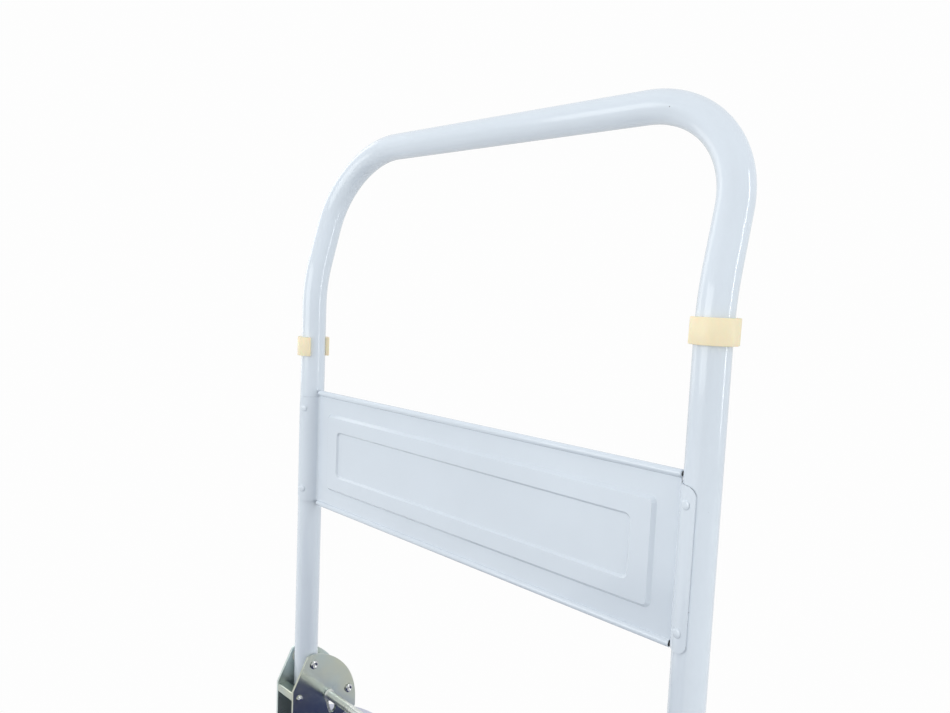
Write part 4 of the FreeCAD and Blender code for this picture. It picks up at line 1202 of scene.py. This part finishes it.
@dataclass
class Fastener:
    """An upright hex bolt with a washer under its head and a nut under the plate.

    The bolt's foot is at base; its head's top is at top; the nut sits under nut_seat.
    """

    base: Vector
    top: float
    nut_seat: float
    radius: float
    flats: float
    head: float
    washer: float
    pitch: float
    nut: float = 0.005

    def add(self, bm: bmesh.types.BMesh) -> None:
        """Adds the bolt to a mesh."""
        seat = self.top - self.head - self.washer
        Smith.prism(bm, 6, self.flats, Vector((self.base.x, self.base.y, self.top - self.head)), self.head)
        Smith.prism(bm, 6, self.flats, Vector((self.base.x, self.base.y, self.nut_seat - self.nut)), self.nut)
        wide = self.flats * 0.6
        washer = [(0.0, 0.0), (0.0, wide), (self.washer, wide), (self.washer, 0.0)]
        Smith.turned(bm, Smith.rounded(washer, 0.0003), Vector((self.base.x, self.base.y, seat)), Z_AXIS, 32)
        thread = [(0.0, 0.0), (0.0, self.radius * 0.78)]
        rise = 0.0
        end = self.nut_seat - self.base.z
        while rise + self.pitch < end:
            thread += [(rise + 0.1 * self.pitch, self.radius * 0.88), (rise + 0.5 * self.pitch, self.radius)]
            rise += self.pitch
        thread += [(seat - self.base.z, self.radius), (seat - self.base.z, 0.0)]
        Smith.turned(bm, thread, self.base, Z_AXIS, 24)


# ---------------------------------------------------------------------------------------- release bar
@dataclass
class ReleaseBar:
    """The foot bar across the trolley with its collars, springs and spring seats."""

    shop: Workshop
    leg_x: float
    bar_radius: float = 0.0052
    collar_radius: float = 0.007
    collar_width: float = 0.0024
    collar_gap: float = 0.0004
    cheek_out: float = 0.0183
    coil_radius: float = 0.0052
    wire_radius: float = 0.0009
    turns: int = 8
    spring_length: float = 0.041
    spring_joint: str = "foot_bar_press"

    def build(self) -> None:
        """Builds and dresses the bar and what carries it."""
        low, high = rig.box("release_bar")
        centre = (low + high) / 2
        reach = high.x
        profile = [(-reach, 0.0), (-reach, self.bar_radius - 0.0010), (-reach + 0.0010, self.bar_radius),
                   (reach - 0.0010, self.bar_radius), (reach, self.bar_radius - 0.0010), (reach, 0.0)]
        bm = bmesh.new()
        Smith.turned(bm, Smith.rounded(profile, 0.0006), Vector((0, centre.y, centre.z)), X_AXIS, 48)
        self.shop.piece("release_bar_drawn", bm, Palette.BAR, Body.FOOT_BAR, ["release_bar"])
        bm = bmesh.new()
        for start in (self.leg_x - self.cheek_out - self.collar_gap - self.collar_width,
                      self.leg_x + self.cheek_out + self.collar_gap):
            ring = [(0.0, self.bar_radius), (0.0, self.collar_radius - 0.0005), (0.0005, self.collar_radius),
                    (self.collar_width - 0.0005, self.collar_radius),
                    (self.collar_width, self.collar_radius - 0.0005), (self.collar_width, self.bar_radius)]
            Smith.turned(bm, ring, Vector((start, centre.y, centre.z)), X_AXIS, 40, closed=True)
        Smith.mirrored(bm)
        self.shop.piece("bar_collars_turned", bm, Palette.BAR, Body.FOOT_BAR, ["bar_collars"])
        for side, node in ((1, "right_bar_spring"), (-1, "left_bar_spring")):
            self.spring(side, node, centre)
        self.shop.refined("spring_seats", Palette.BLACK, Body.CHASSIS, 0.0004)

    def spring(self, side: int, node: str, bar: Vector) -> None:
        """A compression spring along the slots, squashed as the bar goes down.

        Args:
            side: 1 for the right, -1 for the left.
            node: The node it stands for.
            bar: The middle of the bar.
        """
        along = self.travel()
        top = Vector((side * self.leg_x, bar.y, bar.z)) + along * (self.bar_radius + self.wire_radius + 0.0001)
        rise = self.spring_length - 2 * self.wire_radius
        pitch = rise / self.turns
        bm = bmesh.new()
        ring = bmesh.ops.create_circle(
            bm, segments=10, radius=self.wire_radius, cap_ends=True,
            matrix=Matrix.Translation(top + X_AXIS * self.coil_radius)
            @ Matrix((X_AXIS, along, X_AXIS.cross(along))).transposed().to_4x4())
        steps = 26
        faces = list(dict.fromkeys(face for vert in ring["verts"] for face in vert.link_faces))
        bmesh.ops.spin(bm, geom=faces, cent=top, axis=along, angle=FULL_TURN * self.turns,
                       steps=steps * self.turns, dvec=along * (pitch / steps))
        bmesh.ops.recalc_face_normals(bm, faces=bm.faces)
        thing = self.shop.piece(f"{node}_coil", bm, Palette.SPRING, Body.CHASSIS, [node])
        foot = top + along * rise
        stroke = max(self.shop.joints[self.spring_joint]["range_m"])
        keep = 1 - (stroke + 0.0003) / (rise + self.wire_radius)
        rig.squash(thing, self.spring_joint, tuple(along), tuple(foot), keep)

    def travel(self) -> Vector:
        """The direction that the bar is pressed in."""
        return Vector(self.shop.joints[self.spring_joint]["axis"]).normalized()


# ---------------------------------------------------------------------------------------- deck
@dataclass
class Deck:
    """The pressed deck with its ribbed mat, edge bumper and the channels under it."""

    shop: Workshop
    plate_wall: float = 0.002
    corner: float = 0.084
    plate_inset: float = 0.008
    mat_inset: float = 0.020
    mat_rear_corner: float = 0.010
    rib_pitch: float = 0.006
    groove_depth: float = 0.0009
    lip: float = 0.003
    lip_width: float = 0.018
    hook: float = 0.004
    wall: float = 0.008
    bumper_round: float = 0.0045
    bumper_grooves: tuple[float, float] = (0.3, 0.7)
    groove_half: float = 0.0017

    def build(self) -> None:
        """Builds and dresses the deck."""
        self.plate()
        self.mat()
        self.bumper()
        for node in ("front_crossmember", "rear_crossmember", "deck_rails", "axle_hangers"):
            self.shop.refined(node, Palette.NAVY, Body.CHASSIS, 0.0009, 2)

    def plate(self) -> None:
        """The pan: flat top and turned-down skirt."""
        low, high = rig.box("deck_plate")
        bm = bmesh.new()
        corner = self.corner - self.plate_inset
        Smith.slab(bm, low, high, (corner, corner), 20)
        bottom = [face for face in bm.faces if face.normal.z < -0.9]
        bmesh.ops.delete(bm, geom=bottom, context="FACES")
        Smith.soften(bm, 0.0022, 4, 60.0)
        self.shop.piece("deck_plate_pressed", bm, Palette.NAVY, Body.CHASSIS, ["deck_plate"], wall=self.plate_wall)

    def mat_end(self, x: float, half: float, end: float, radius: float) -> float:
        """How far the mat reaches along Y at a distance from its centre line.

        Args:
            x: The distance from the centre line.
            half: Half the mat's width.
            end: Its reach on the centre line.
            radius: The corner radius.

        Returns:
            The reach there, on the same side as end.
        """
        into = abs(x) - (half - radius)
        if into <= 0:
            return end
        lost = radius - math.sqrt(max(0.0, radius ** 2 - into ** 2))
        return end - math.copysign(lost, end)

    def mat(self) -> None:
        """The ribbed mat, its ribs along the deck."""
        low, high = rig.box("deck_mat")
        half = high.x
        count = round(2 * half / self.rib_pitch)
        pitch = 2 * half / count
        stations = []
        for rib in range(count):
            start = -half + rib * pitch
            for share, drop in ((0.0, 1.0), (0.12, 0.92), (0.24, 0.35), (0.36, 0.04), (0.5, 0.0), (0.64, 0.04),
                                (0.76, 0.35), (0.88, 0.92)):
                stations.append((start + share * pitch, high.z - drop * self.groove_depth))
        stations.append((half, high.z - self.groove_depth))
        bm = bmesh.new()
        rows = []
        front_corner = self.corner - self.mat_inset
        for x, z in stations:
            front = self.mat_end(x, half, low.y, front_corner)
            rear = self.mat_end(x, half, high.y, self.mat_rear_corner)
            rows.append([bm.verts.new(place) for place in ((x, front, low.z), (x, front, z), (x, rear, z),
                                                           (x, rear, low.z))])
        for first, second in zip(rows, rows[1:]):
            for index in range(4):
                after = (index + 1) % 4
                bm.faces.new((first[index], second[index], second[after], first[after]))
        bm.faces.new(rows[0])
        bm.faces.new(rows[-1][::-1])
        bmesh.ops.recalc_face_normals(bm, faces=bm.faces)
        self.shop.piece("deck_mat_ribbed", bm, Palette.MAT, Body.CHASSIS, ["deck_mat"], sharp=math.radians(60))

    def bumper_section(self, low: float, high: float) -> list[tuple[float, float]]:
        """The bumper's outline as pairs of distance inwards and height, counter-clockwise.

        Args:
            low: The height of its underside.
            high: The height of its top.
        """
        radius = self.bumper_round
        points = [(self.lip_width, high - self.lip), (self.lip_width - 0.0002, high - 0.0012),
                  (self.lip_width - 0.0014, high - 0.0001), (self.lip_width - 0.0024, high)]
        for step in range(7):
            angle = math.pi / 2 * step / 6
            points.append((radius - radius * math.sin(angle), high - radius + radius * math.cos(angle)))
        span = high - low
        for share in self.bumper_grooves[::-1]:
            middle = low + span * share
            for offset, depth in ((1.0, 0.0), (0.62, 0.55), (0.0, 1.0), (-0.62, 0.55), (-1.0, 0.0)):
                points.append((depth * self.groove_half * 0.7, middle + offset * self.groove_half))
        for step in range(7):
            angle = math.pi / 2 * step / 6
            points.append((radius - radius * math.cos(angle), low + radius - radius * math.sin(angle)))
        points += [(self.lip_width - 0.0012, low), (self.lip_width, low + 0.0012),
                   (self.lip_width, low + self.hook), (self.wall, low + self.hook), (self.wall, high - self.lip)]
        return points

    def bumper(self) -> None:
        """The soft edging, swept round the deck."""
        low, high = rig.box("edge_bumper")
        run_y = high.y - self.corner
        run_x = high.x - self.corner
        bm = bmesh.new()
        verts = [bm.verts.new((high.x - inward, -run_y, z)) for inward, z in self.bumper_section(low.z, high.z)]
        first = [bm.edges.new(pair) for pair in zip(verts, verts[1:] + verts[:1])]
        run = Runner(bm, first, Vector((high.x, -run_y, low.z)), Y_AXIS)
        for length, towards in ((run_y, -X_AXIS), (run_x, -Y_AXIS), (run_y, X_AXIS), (run_x, Y_AXIS)):
            run.straight(2 * length, 4)
            run.bend(math.pi / 2, self.corner, towards, 18)
        run.join_start(first)
        bmesh.ops.recalc_face_normals(bm, faces=bm.faces)
        self.shop.piece("edge_bumper_moulded", bm, Palette.BUMPER, Body.CHASSIS, ["edge_bumper"])


# ---------------------------------------------------------------------------------------- wheels
@dataclass
class Wheel:
    """A rubber tyre on a plastic centre, both turned about an axle along X."""

    shop: Workshop
    body: str
    tyre_node: str
    rim_node: str
    rim_radius: float
    hub_radius: float
    bore: float
    crown: float
    grooves: tuple[float, ...]
    rim_recess: float = 0.0095
    rim_wall: float = 0.005
    ribs: int = 6
    rib_thick: float = 0.0028
    centre: Vector = field(init=False)
    half: float = field(init=False)
    radius: float = field(init=False)

    def build(self) -> None:
        """Builds and dresses the tyre and the centre."""
        low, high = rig.box(self.tyre_node)
        self.centre = (low + high) / 2
        self.half = (high.x - low.x) / 2
        self.radius = (high.z - low.z) / 2
        self.tyre()
        self.rim()

    def tyre(self) -> None:
        """A crowned tread with ring grooves, and a moulded ring on each wall."""
        half = self.half
        outer = self.radius
        wall = outer - self.crown
        ring = (self.rim_radius + wall) / 2
        side = [(half - 0.0015, self.rim_radius), (half, self.rim_radius + 0.0025), (half, ring - 0.0012),
                (half - 0.0006, ring - 0.0006), (half - 0.0006, ring + 0.0006), (half, ring + 0.0012),
                (half, wall - 0.0014), (half - 0.0007, wall - 0.0002)]
        steps = 9
        tread = []
        sphere = (half ** 2 + self.crown ** 2) / (2 * self.crown)
        for step in range(1, 2 * steps):
            along = half * (1 - step / steps) * 0.955
            rise = math.sqrt(sphere ** 2 - along ** 2) - sphere
            tread.append((along, outer + rise))
        for groove in self.grooves:
            tread = self.cut_groove(tread, groove, outer)
        mirrored = [(-along, radius) for along, radius in side[::-1]]
        bm = bmesh.new()
        Smith.turned(bm, side + tread + mirrored, self.centre, X_AXIS, 96, closed=True)
        self.shop.piece(f"{self.tyre_node}_moulded", bm, Palette.TYRE, self.body, [self.tyre_node])

    @staticmethod
    def cut_groove(tread: list[tuple[float, float]], at: float, outer: float) -> list[tuple[float, float]]:
        """A tread outline with a ring groove cut at a distance from its middle.

        Args:
            tread: The outline, from the positive side to the negative.
            at: The groove's distance from the middle.
            outer: The tyre's radius.
        """
        half = 0.0011
        deep = 0.0013
        before = [point for point in tread if point[0] > at + half]
        after = [point for point in tread if point[0] < at - half]
        edge = min(before[-1][1], outer) if before else outer
        return before + [(at + half, edge), (at + half * 0.55, edge - deep), (at - half * 0.55, edge - deep),
                         (at - half, edge)] + after

    def rim(self) -> None:
        """The moulded centre: hub, ribbed web and rim."""
        low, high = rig.box(self.rim_node)
        hub_half = (high.x - low.x) / 2
        half = self.half - 0.0015
        web = half - self.rim_recess
        inner = self.rim_radius - self.rim_wall
        right = [(hub_half, self.bore), (hub_half, self.hub_radius - 0.0012), (hub_half - 0.0012, self.hub_radius),
                 (web + 0.001, self.hub_radius + 0.0002), (web, self.hub_radius + 0.0012), (web, inner - 0.0012),
                 (web + 0.0012, inner), (half - 0.0008, inner + 0.0009), (half, inner + 0.0018),
                 (half, self.rim_radius)]
        profile = right + [(-along, radius) for along, radius in right[::-1]]
        bm = bmesh.new()
        Smith.turned(bm, profile, self.centre, X_AXIS, 80, closed=True)
        for index in range(self.ribs):
            self.rib(bm, FULL_TURN * (index + 0.5) / self.ribs, inner, half - 0.002)
        self.shop.piece(f"{self.rim_node}_moulded", bm, Palette.WHEEL, self.body, [self.rim_node])

    def rib(self, bm: bmesh.types.BMesh, angle: float, outer: float, half: float) -> None:
        """A radial rib through the web.

        Args:
            bm: The mesh to add to.
            angle: Its place round the axle.
            outer: Its outer end's distance from the axle.
            half: Half its width along the axle.
        """
        inner = self.hub_radius - 0.0005
        reach = outer + 0.0008 - inner
        turn = Matrix.Rotation(angle, 4, "X")
        place = Matrix.Translation(self.centre) @ turn @ Matrix.Translation((0, 0, inner + reach / 2))
        made = bmesh.ops.create_cube(bm, size=1.0,
                                     matrix=place @ Matrix.Diagonal((2 * half, self.rib_thick, reach, 1.0)))
        Smith.bevel(bm, Smith.edges_of(made["verts"]), 0.0007, 2)


@dataclass
class StarSets:
    """The two stair-climbing sets: plates, hubs, bolts and three wheels each, on one axle."""

    shop: Workshop
    hub_radius: float = 0.018
    axle_radius: float = 0.010
    bolt_radius: float = 0.005
    head_radius: float = 0.008
    plate_out: float = 0.020
    rim_radius: float = 0.038
    wheels: int = 3

    def build(self) -> None:
        """Builds and dresses the sets, the axle and its caps."""
        low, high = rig.box("rear_axle")
        centre = (low + high) / 2
        bm = bmesh.new()
        reach = high.x
        profile = [(-reach, 0.0), (-reach, self.axle_radius), (reach, self.axle_radius), (reach, 0.0)]
        Smith.turned(bm, Smith.rounded(profile, 0.0015), centre, X_AXIS, 48)
        self.shop.piece("rear_axle_turned", bm, Palette.BRIGHT, Body.CHASSIS, ["rear_axle"])
        self.shop.refined("axle_caps", Palette.ZINC, Body.CHASSIS, 0.0003)
        for side in ("right", "left"):
            self.star(side)

    def star(self, side: str) -> None:
        """One set.

        Args:
            side: "right" or "left".
        """
        body = f"{side}_star"
        self.shop.refined(f"{side}_star_plates", Palette.ZINC, body, 0.0006, 2)
        low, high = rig.box(f"{side}_star_hub")
        centre = (low + high) / 2
        reach = (high.x - low.x) / 2
        ring = [(-reach, self.axle_radius + 0.00005), (-reach, self.hub_radius - 0.001),
                (-reach + 0.001, self.hub_radius), (reach - 0.001, self.hub_radius), (reach, self.hub_radius - 0.001),
                (reach, self.axle_radius + 0.00005)]
        bm = bmesh.new()
        Smith.turned(bm, ring, centre, X_AXIS, 56, closed=True)
        self.shop.piece(f"{side}_star_hub_turned", bm, Palette.BRIGHT, body, [f"{side}_star_hub"])
        bm = bmesh.new()
        for index in range(1, self.wheels + 1):
            low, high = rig.box(f"{side}_star_tyre_{index}")
            self.bolt(bm, (low + high) / 2)
            Wheel(self.shop, f"{side}_star_wheel_{index}", f"{side}_star_tyre_{index}", f"{side}_star_rim_{index}",
                  self.rim_radius, 0.012, self.bolt_radius + 0.00005, 0.0015, (0.006, -0.006), ribs=5).build()
        self.shop.piece(f"{side}_star_bolts_turned", bm, Palette.BRIGHT, body, [f"{side}_star_bolts"])

    def bolt(self, bm: bmesh.types.BMesh, centre: Vector) -> None:
        """A wheel bolt with a pan head and a round nut.

        Args:
            bm: The mesh to add to.
            centre: The wheel's centre.
        """
        out = self.plate_out
        end = out + 0.0036
        half = [(out, self.bolt_radius), (out, self.head_radius), (out + 0.0014, self.head_radius),
                (out + 0.0030, self.head_radius - 0.0018), (end, self.head_radius - 0.0042), (end, 0.0022),
                (end - 0.0012, 0.0014), (end - 0.0012, 0.0)]
        Smith.turned(bm, Smith.rounded(Smith.both_ways(half), 0.0006), centre, X_AXIS, 36)


@dataclass
class Casters:
    """The two swivel casters under the far end of the deck."""

    shop: Workshop
    axle_radius: float = 0.006
    rim_radius: float = 0.055
    hub_radius: float = 0.017
    kingpin_head: float = 0.011
    bolt_x: float = 0.042
    bolt_y: float = 0.034
    bolt_flats: float = 0.013

    def build(self) -> None:
        """Builds and dresses plates, pins, bolts, forks and wheels."""
        self.shop.refined("caster_plates", Palette.ZINC_FORK, Body.CHASSIS, 0.0008)
        low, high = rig.box("caster_kingpins")
        bm = bmesh.new()
        base = Vector((high.x - self.kingpin_head, (low.y + high.y) / 2, low.z))
        rise = high.z - low.z
        profile = [(0.0, 0.0), (0.0, self.kingpin_head), (0.006, self.kingpin_head), (0.006, self.axle_radius),
                   (rise, self.axle_radius), (rise, 0.0)]
        Smith.turned(bm, Smith.rounded(profile, 0.0012), base, Z_AXIS, 40)
        Smith.mirrored(bm)
        self.shop.piece("caster_kingpins_turned", bm, Palette.BRIGHT, Body.CHASSIS, ["caster_kingpins"])
        self.bolts(base)
        for side in ("right", "left"):
            self.caster(side)

    def bolts(self, pivot: Vector) -> None:
        """Four bolts, heads down, through each top plate.

        Args:
            pivot: A point on the right caster's swivel axis.
        """
        low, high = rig.box("caster_bolts")
        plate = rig.box("caster_plates")[1].z
        bm = bmesh.new()
        for dx in (-self.bolt_x, self.bolt_x):
            for dy in (-self.bolt_y, self.bolt_y):
                foot = Vector((pivot.x + dx, pivot.y + dy, low.z))
                Smith.prism(bm, 6, self.bolt_flats, foot, 0.0053)
                Smith.prism(bm, 6, self.bolt_flats, Vector((foot.x, foot.y, plate + 0.0025)), 0.006)
                rise = high.z - low.z
                shank = [(0.004, 0.0), (0.004, 0.004), (rise - 0.0008, 0.004), (rise, 0.0032), (rise, 0.0)]
                Smith.turned(bm, shank, foot, Z_AXIS, 24)
        Smith.mirrored(bm)
        self.shop.piece("caster_bolts_forged", bm, Palette.BRIGHT, Body.CHASSIS, ["caster_bolts"])

    def caster(self, side: str) -> None:
        """One caster.

        Args:
            side: "right" or "left".
        """
        body = f"{side}_caster"
        self.shop.refined(f"{side}_caster_fork", Palette.ZINC_FORK, body, 0.0008, 2)
        low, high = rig.box(f"{side}_caster_axle")
        centre = (low + high) / 2
        reach = (high.x - low.x) / 2
        fork_out = 0.025
        half = [(fork_out, self.axle_radius), (fork_out, 0.0095), (reach - 0.0012, 0.0095), (reach, 0.0083),
                (reach, 0.0)]
        bm = bmesh.new()
        Smith.turned(bm, Smith.rounded(Smith.both_ways(half), 0.0005), centre, X_AXIS, 40)
        self.shop.piece(f"{side}_caster_axle_turned", bm, Palette.BRIGHT, body, [f"{side}_caster_axle"])
        Wheel(self.shop, f"{side}_caster_wheel", f"{side}_caster_tyre", f"{side}_caster_rim", self.rim_radius,
              self.hub_radius, self.axle_radius + 0.00005, 0.0025, (0.008, 0.0, -0.008), ribs=8,
              rib_thick=0.0036).build()


# ---------------------------------------------------------------------------------------- studio
@dataclass
class Studio:
    """White surroundings, soft light and the camera."""

    leg_y: float
    kink_z: float
    floor_size: float = 14.0
    backdrop: float = 0.985
    ambient: float = 1.0
    lens: float = 28.24
    stand: tuple[float, float, float] = (0.5016, -0.5059, 0.0015)
    yaw: float = math.radians(43.859)
    pitch: float = math.radians(5.168)
    roll: float = math.radians(-2.506)

    def build(self) -> None:
        """Sets the world, the floor, the lights and the camera."""
        self.world()
        self.floor()
        self.lights()
        self.camera()
        view = bpy.context.scene.view_settings
        view.view_transform = "Standard"
        view.look = "None"
        view.exposure = 0.0

    def world(self) -> None:
        """A world that is white to the camera and softer as light."""
        world = bpy.data.worlds.new("white_room")
        world.use_nodes = True
        nodes = world.node_tree.nodes
        links = world.node_tree.links
        nodes.clear()
        output = nodes.new("ShaderNodeOutputWorld")
        mix = nodes.new("ShaderNodeMixShader")
        path = nodes.new("ShaderNodeLightPath")
        seen = nodes.new("ShaderNodeBackground")
        lit = nodes.new("ShaderNodeBackground")
        seen.inputs["Color"].default_value = (1, 1, 1, 1)
        seen.inputs["Strength"].default_value = self.backdrop
        coordinates = nodes.new("ShaderNodeTexCoord")
        split = nodes.new("ShaderNodeSeparateXYZ")
        ramp = nodes.new("ShaderNodeValToRGB")
        spread = nodes.new("ShaderNodeMapRange")
        spread.inputs["From Min"].default_value = -1.0
        links.new(coordinates.outputs["Generated"], split.inputs["Vector"])
        links.new(split.outputs["Z"], spread.inputs["Value"])
        links.new(spread.outputs["Result"], ramp.inputs["Fac"])
        stops = ((0.0, (0.62, 0.63, 0.62)), (0.5, (0.72, 0.73, 0.71)), (0.66, (0.84, 0.87, 0.90)),
                 (1.0, (0.82, 0.82, 0.82)))
        elements = ramp.color_ramp.elements
        while len(elements) < len(stops):
            elements.new(0.5)
        for element, (position, colour) in zip(elements, stops):
            element.position = position
            element.color = (*colour, 1.0)
        links.new(ramp.outputs["Color"], lit.inputs["Color"])
        lit.inputs["Strength"].default_value = self.ambient
        links.new(path.outputs["Is Camera Ray"], mix.inputs["Fac"])
        links.new(lit.outputs["Background"], mix.inputs[1])
        links.new(seen.outputs["Background"], mix.inputs[2])
        links.new(mix.outputs["Shader"], output.inputs["Surface"])
        bpy.context.scene.world = world

    def floor(self) -> None:
        """A white floor that bounces light and looks as white as the room."""
        material = bpy.data.materials.new("white_floor")
        material.use_nodes = True
        nodes = material.node_tree.nodes
        links = material.node_tree.links
        nodes.clear()
        output = nodes.new("ShaderNodeOutputMaterial")
        mix = nodes.new("ShaderNodeMixShader")
        path = nodes.new("ShaderNodeLightPath")
        glow = nodes.new("ShaderNodeEmission")
        glow.inputs["Color"].default_value = (1, 1, 1, 1)
        glow.inputs["Strength"].default_value = self.backdrop
        matt = nodes.new("ShaderNodeBsdfDiffuse")
        matt.inputs["Color"].default_value = (0.80, 0.80, 0.79, 1)
        links.new(path.outputs["Is Camera Ray"], mix.inputs["Fac"])
        links.new(matt.outputs["BSDF"], mix.inputs[1])
        links.new(glow.outputs["Emission"], mix.inputs[2])
        links.new(mix.outputs["Shader"], output.inputs["Surface"])
        bm = bmesh.new()
        bmesh.ops.create_grid(bm, x_segments=1, y_segments=1, size=self.floor_size / 2)
        mesh = bpy.data.meshes.new("studio_floor")
        bm.to_mesh(mesh)
        bm.free()
        mesh.materials.append(material)
        floor = bpy.data.objects.new("studio_floor", mesh)
        bpy.context.scene.collection.objects.link(floor)
        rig.stage(floor)

    def lights(self) -> None:
        """Softboxes round the trolley."""
        aim = Vector((0.0, self.leg_y, 0.62))
        self.softbox("window", Vector((2.3, 1.2, 1.3)), aim, (0.12, 2.2), 11.0, (0.95, 0.98, 1.0))
        self.softbox("ceiling", Vector((0.4, -0.4, 3.0)), aim, (2.6, 2.6), 1.5, (1.0, 1.0, 1.0))
        self.softbox("front", Vector((-0.9, -2.6, 1.1)), aim, (2.4, 1.6), 24.0, (0.99, 1.0, 0.99))
        self.softbox("far_wall", Vector((-2.4, 0.2, 1.3)), aim, (1.2, 2.0), 8.0, (1.0, 0.98, 0.95))

    def softbox(self, name: str, place: Vector, aim: Vector, size: tuple[float, float], power: float,
                tint: Colour) -> None:
        """A rectangular light.

        Args:
            name: Its name.
            place: Where it stands.
            aim: What it faces.
            size: Its width and height.
            power: Its power in watts.
            tint: Its colour.
        """
        lamp = bpy.data.lights.new(name, "AREA")
        lamp.shape = "RECTANGLE"
        lamp.size, lamp.size_y = size
        lamp.energy = power
        lamp.color = tint
        thing = bpy.data.objects.new(name, lamp)
        thing.location = place
        thing.rotation_euler = (aim - place).to_track_quat("-Z", "Y").to_euler()
        bpy.context.scene.collection.objects.link(thing)
        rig.stage(thing)

    def camera(self) -> None:
        """The camera, over the deck's right side and looking at the handle."""
        forward = Vector((-math.sin(self.yaw) * math.cos(self.pitch), math.cos(self.yaw) * math.cos(self.pitch),
                          -math.sin(self.pitch)))
        right = Vector((math.cos(self.yaw), math.sin(self.yaw), 0))
        down = forward.cross(right)
        cos_roll, sin_roll = math.cos(self.roll), math.sin(self.roll)
        across = right * cos_roll + down * sin_roll
        below = down * cos_roll - right * sin_roll
        turn = Matrix((across, -below, -forward)).transposed().to_4x4()
        lens = bpy.data.cameras.new("camera")
        lens.sensor_width = 36.0
        lens.lens = self.lens
        lens.clip_start = 0.02
        camera = bpy.data.objects.new("camera", lens)
        place = Vector((0, self.leg_y, self.kink_z)) + Vector(self.stand)
        camera.matrix_world = Matrix.Translation(place) @ turn
        bpy.context.scene.collection.objects.link(camera)
        bpy.context.scene.camera = camera


# ---------------------------------------------------------------------------------------- main
@dataclass
class SizeRecord:
    """The trolley's bounds before and after dressing."""

    path: str
    bounds: dict[str, list[list[float]]] = field(default_factory=dict)

    def take(self, when: str) -> None:
        """Notes the bounds under a name and writes the file.

        Args:
            when: The name.
        """
        self.bounds[when] = [[float(number) for number in corner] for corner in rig.bounds()]
        with open(self.path, "w", encoding="utf-8") as handle:
            json.dump(self.bounds, handle)
        LOG.info("bounds %s: %s", when, self.bounds[when])


def main() -> None:
    """Loads the frame and builds every class in order."""
    logging.basicConfig(level=logging.INFO, format="%(name)s %(levelname)s %(message)s", stream=sys.stdout)
    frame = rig.load()
    size = SizeRecord(SIZE_FILE)
    size.take("loaded")
    joints = {joint["name"]: joint for joint in frame["joints"]}
    shop = Workshop(frame["nodes"], joints)
    pivot = Vector(joints["handle_fold"]["pos_m"])
    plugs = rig.box("leg_plugs")
    leg_x = plugs[1].x - LEG_RADIUS
    deck_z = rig.box("edge_bumper")[1].z
    PushHandle(shop, pivot, leg_x, LEG_RADIUS, plugs[0].z + PLUG_FLANGE).build()
    HingeBrackets(shop, leg_x, pivot.y, deck_z).build()
    ReleaseBar(shop, leg_x).build()
    Deck(shop).build()
    StarSets(shop).build()
    Casters(shop).build()
    Studio(pivot.y, deck_z + KINK_ABOVE_DECK).build()
    size.take("dressed")
    LOG.info("%d pieces", len(shop.made))


if __name__ == "__main__":
    main()
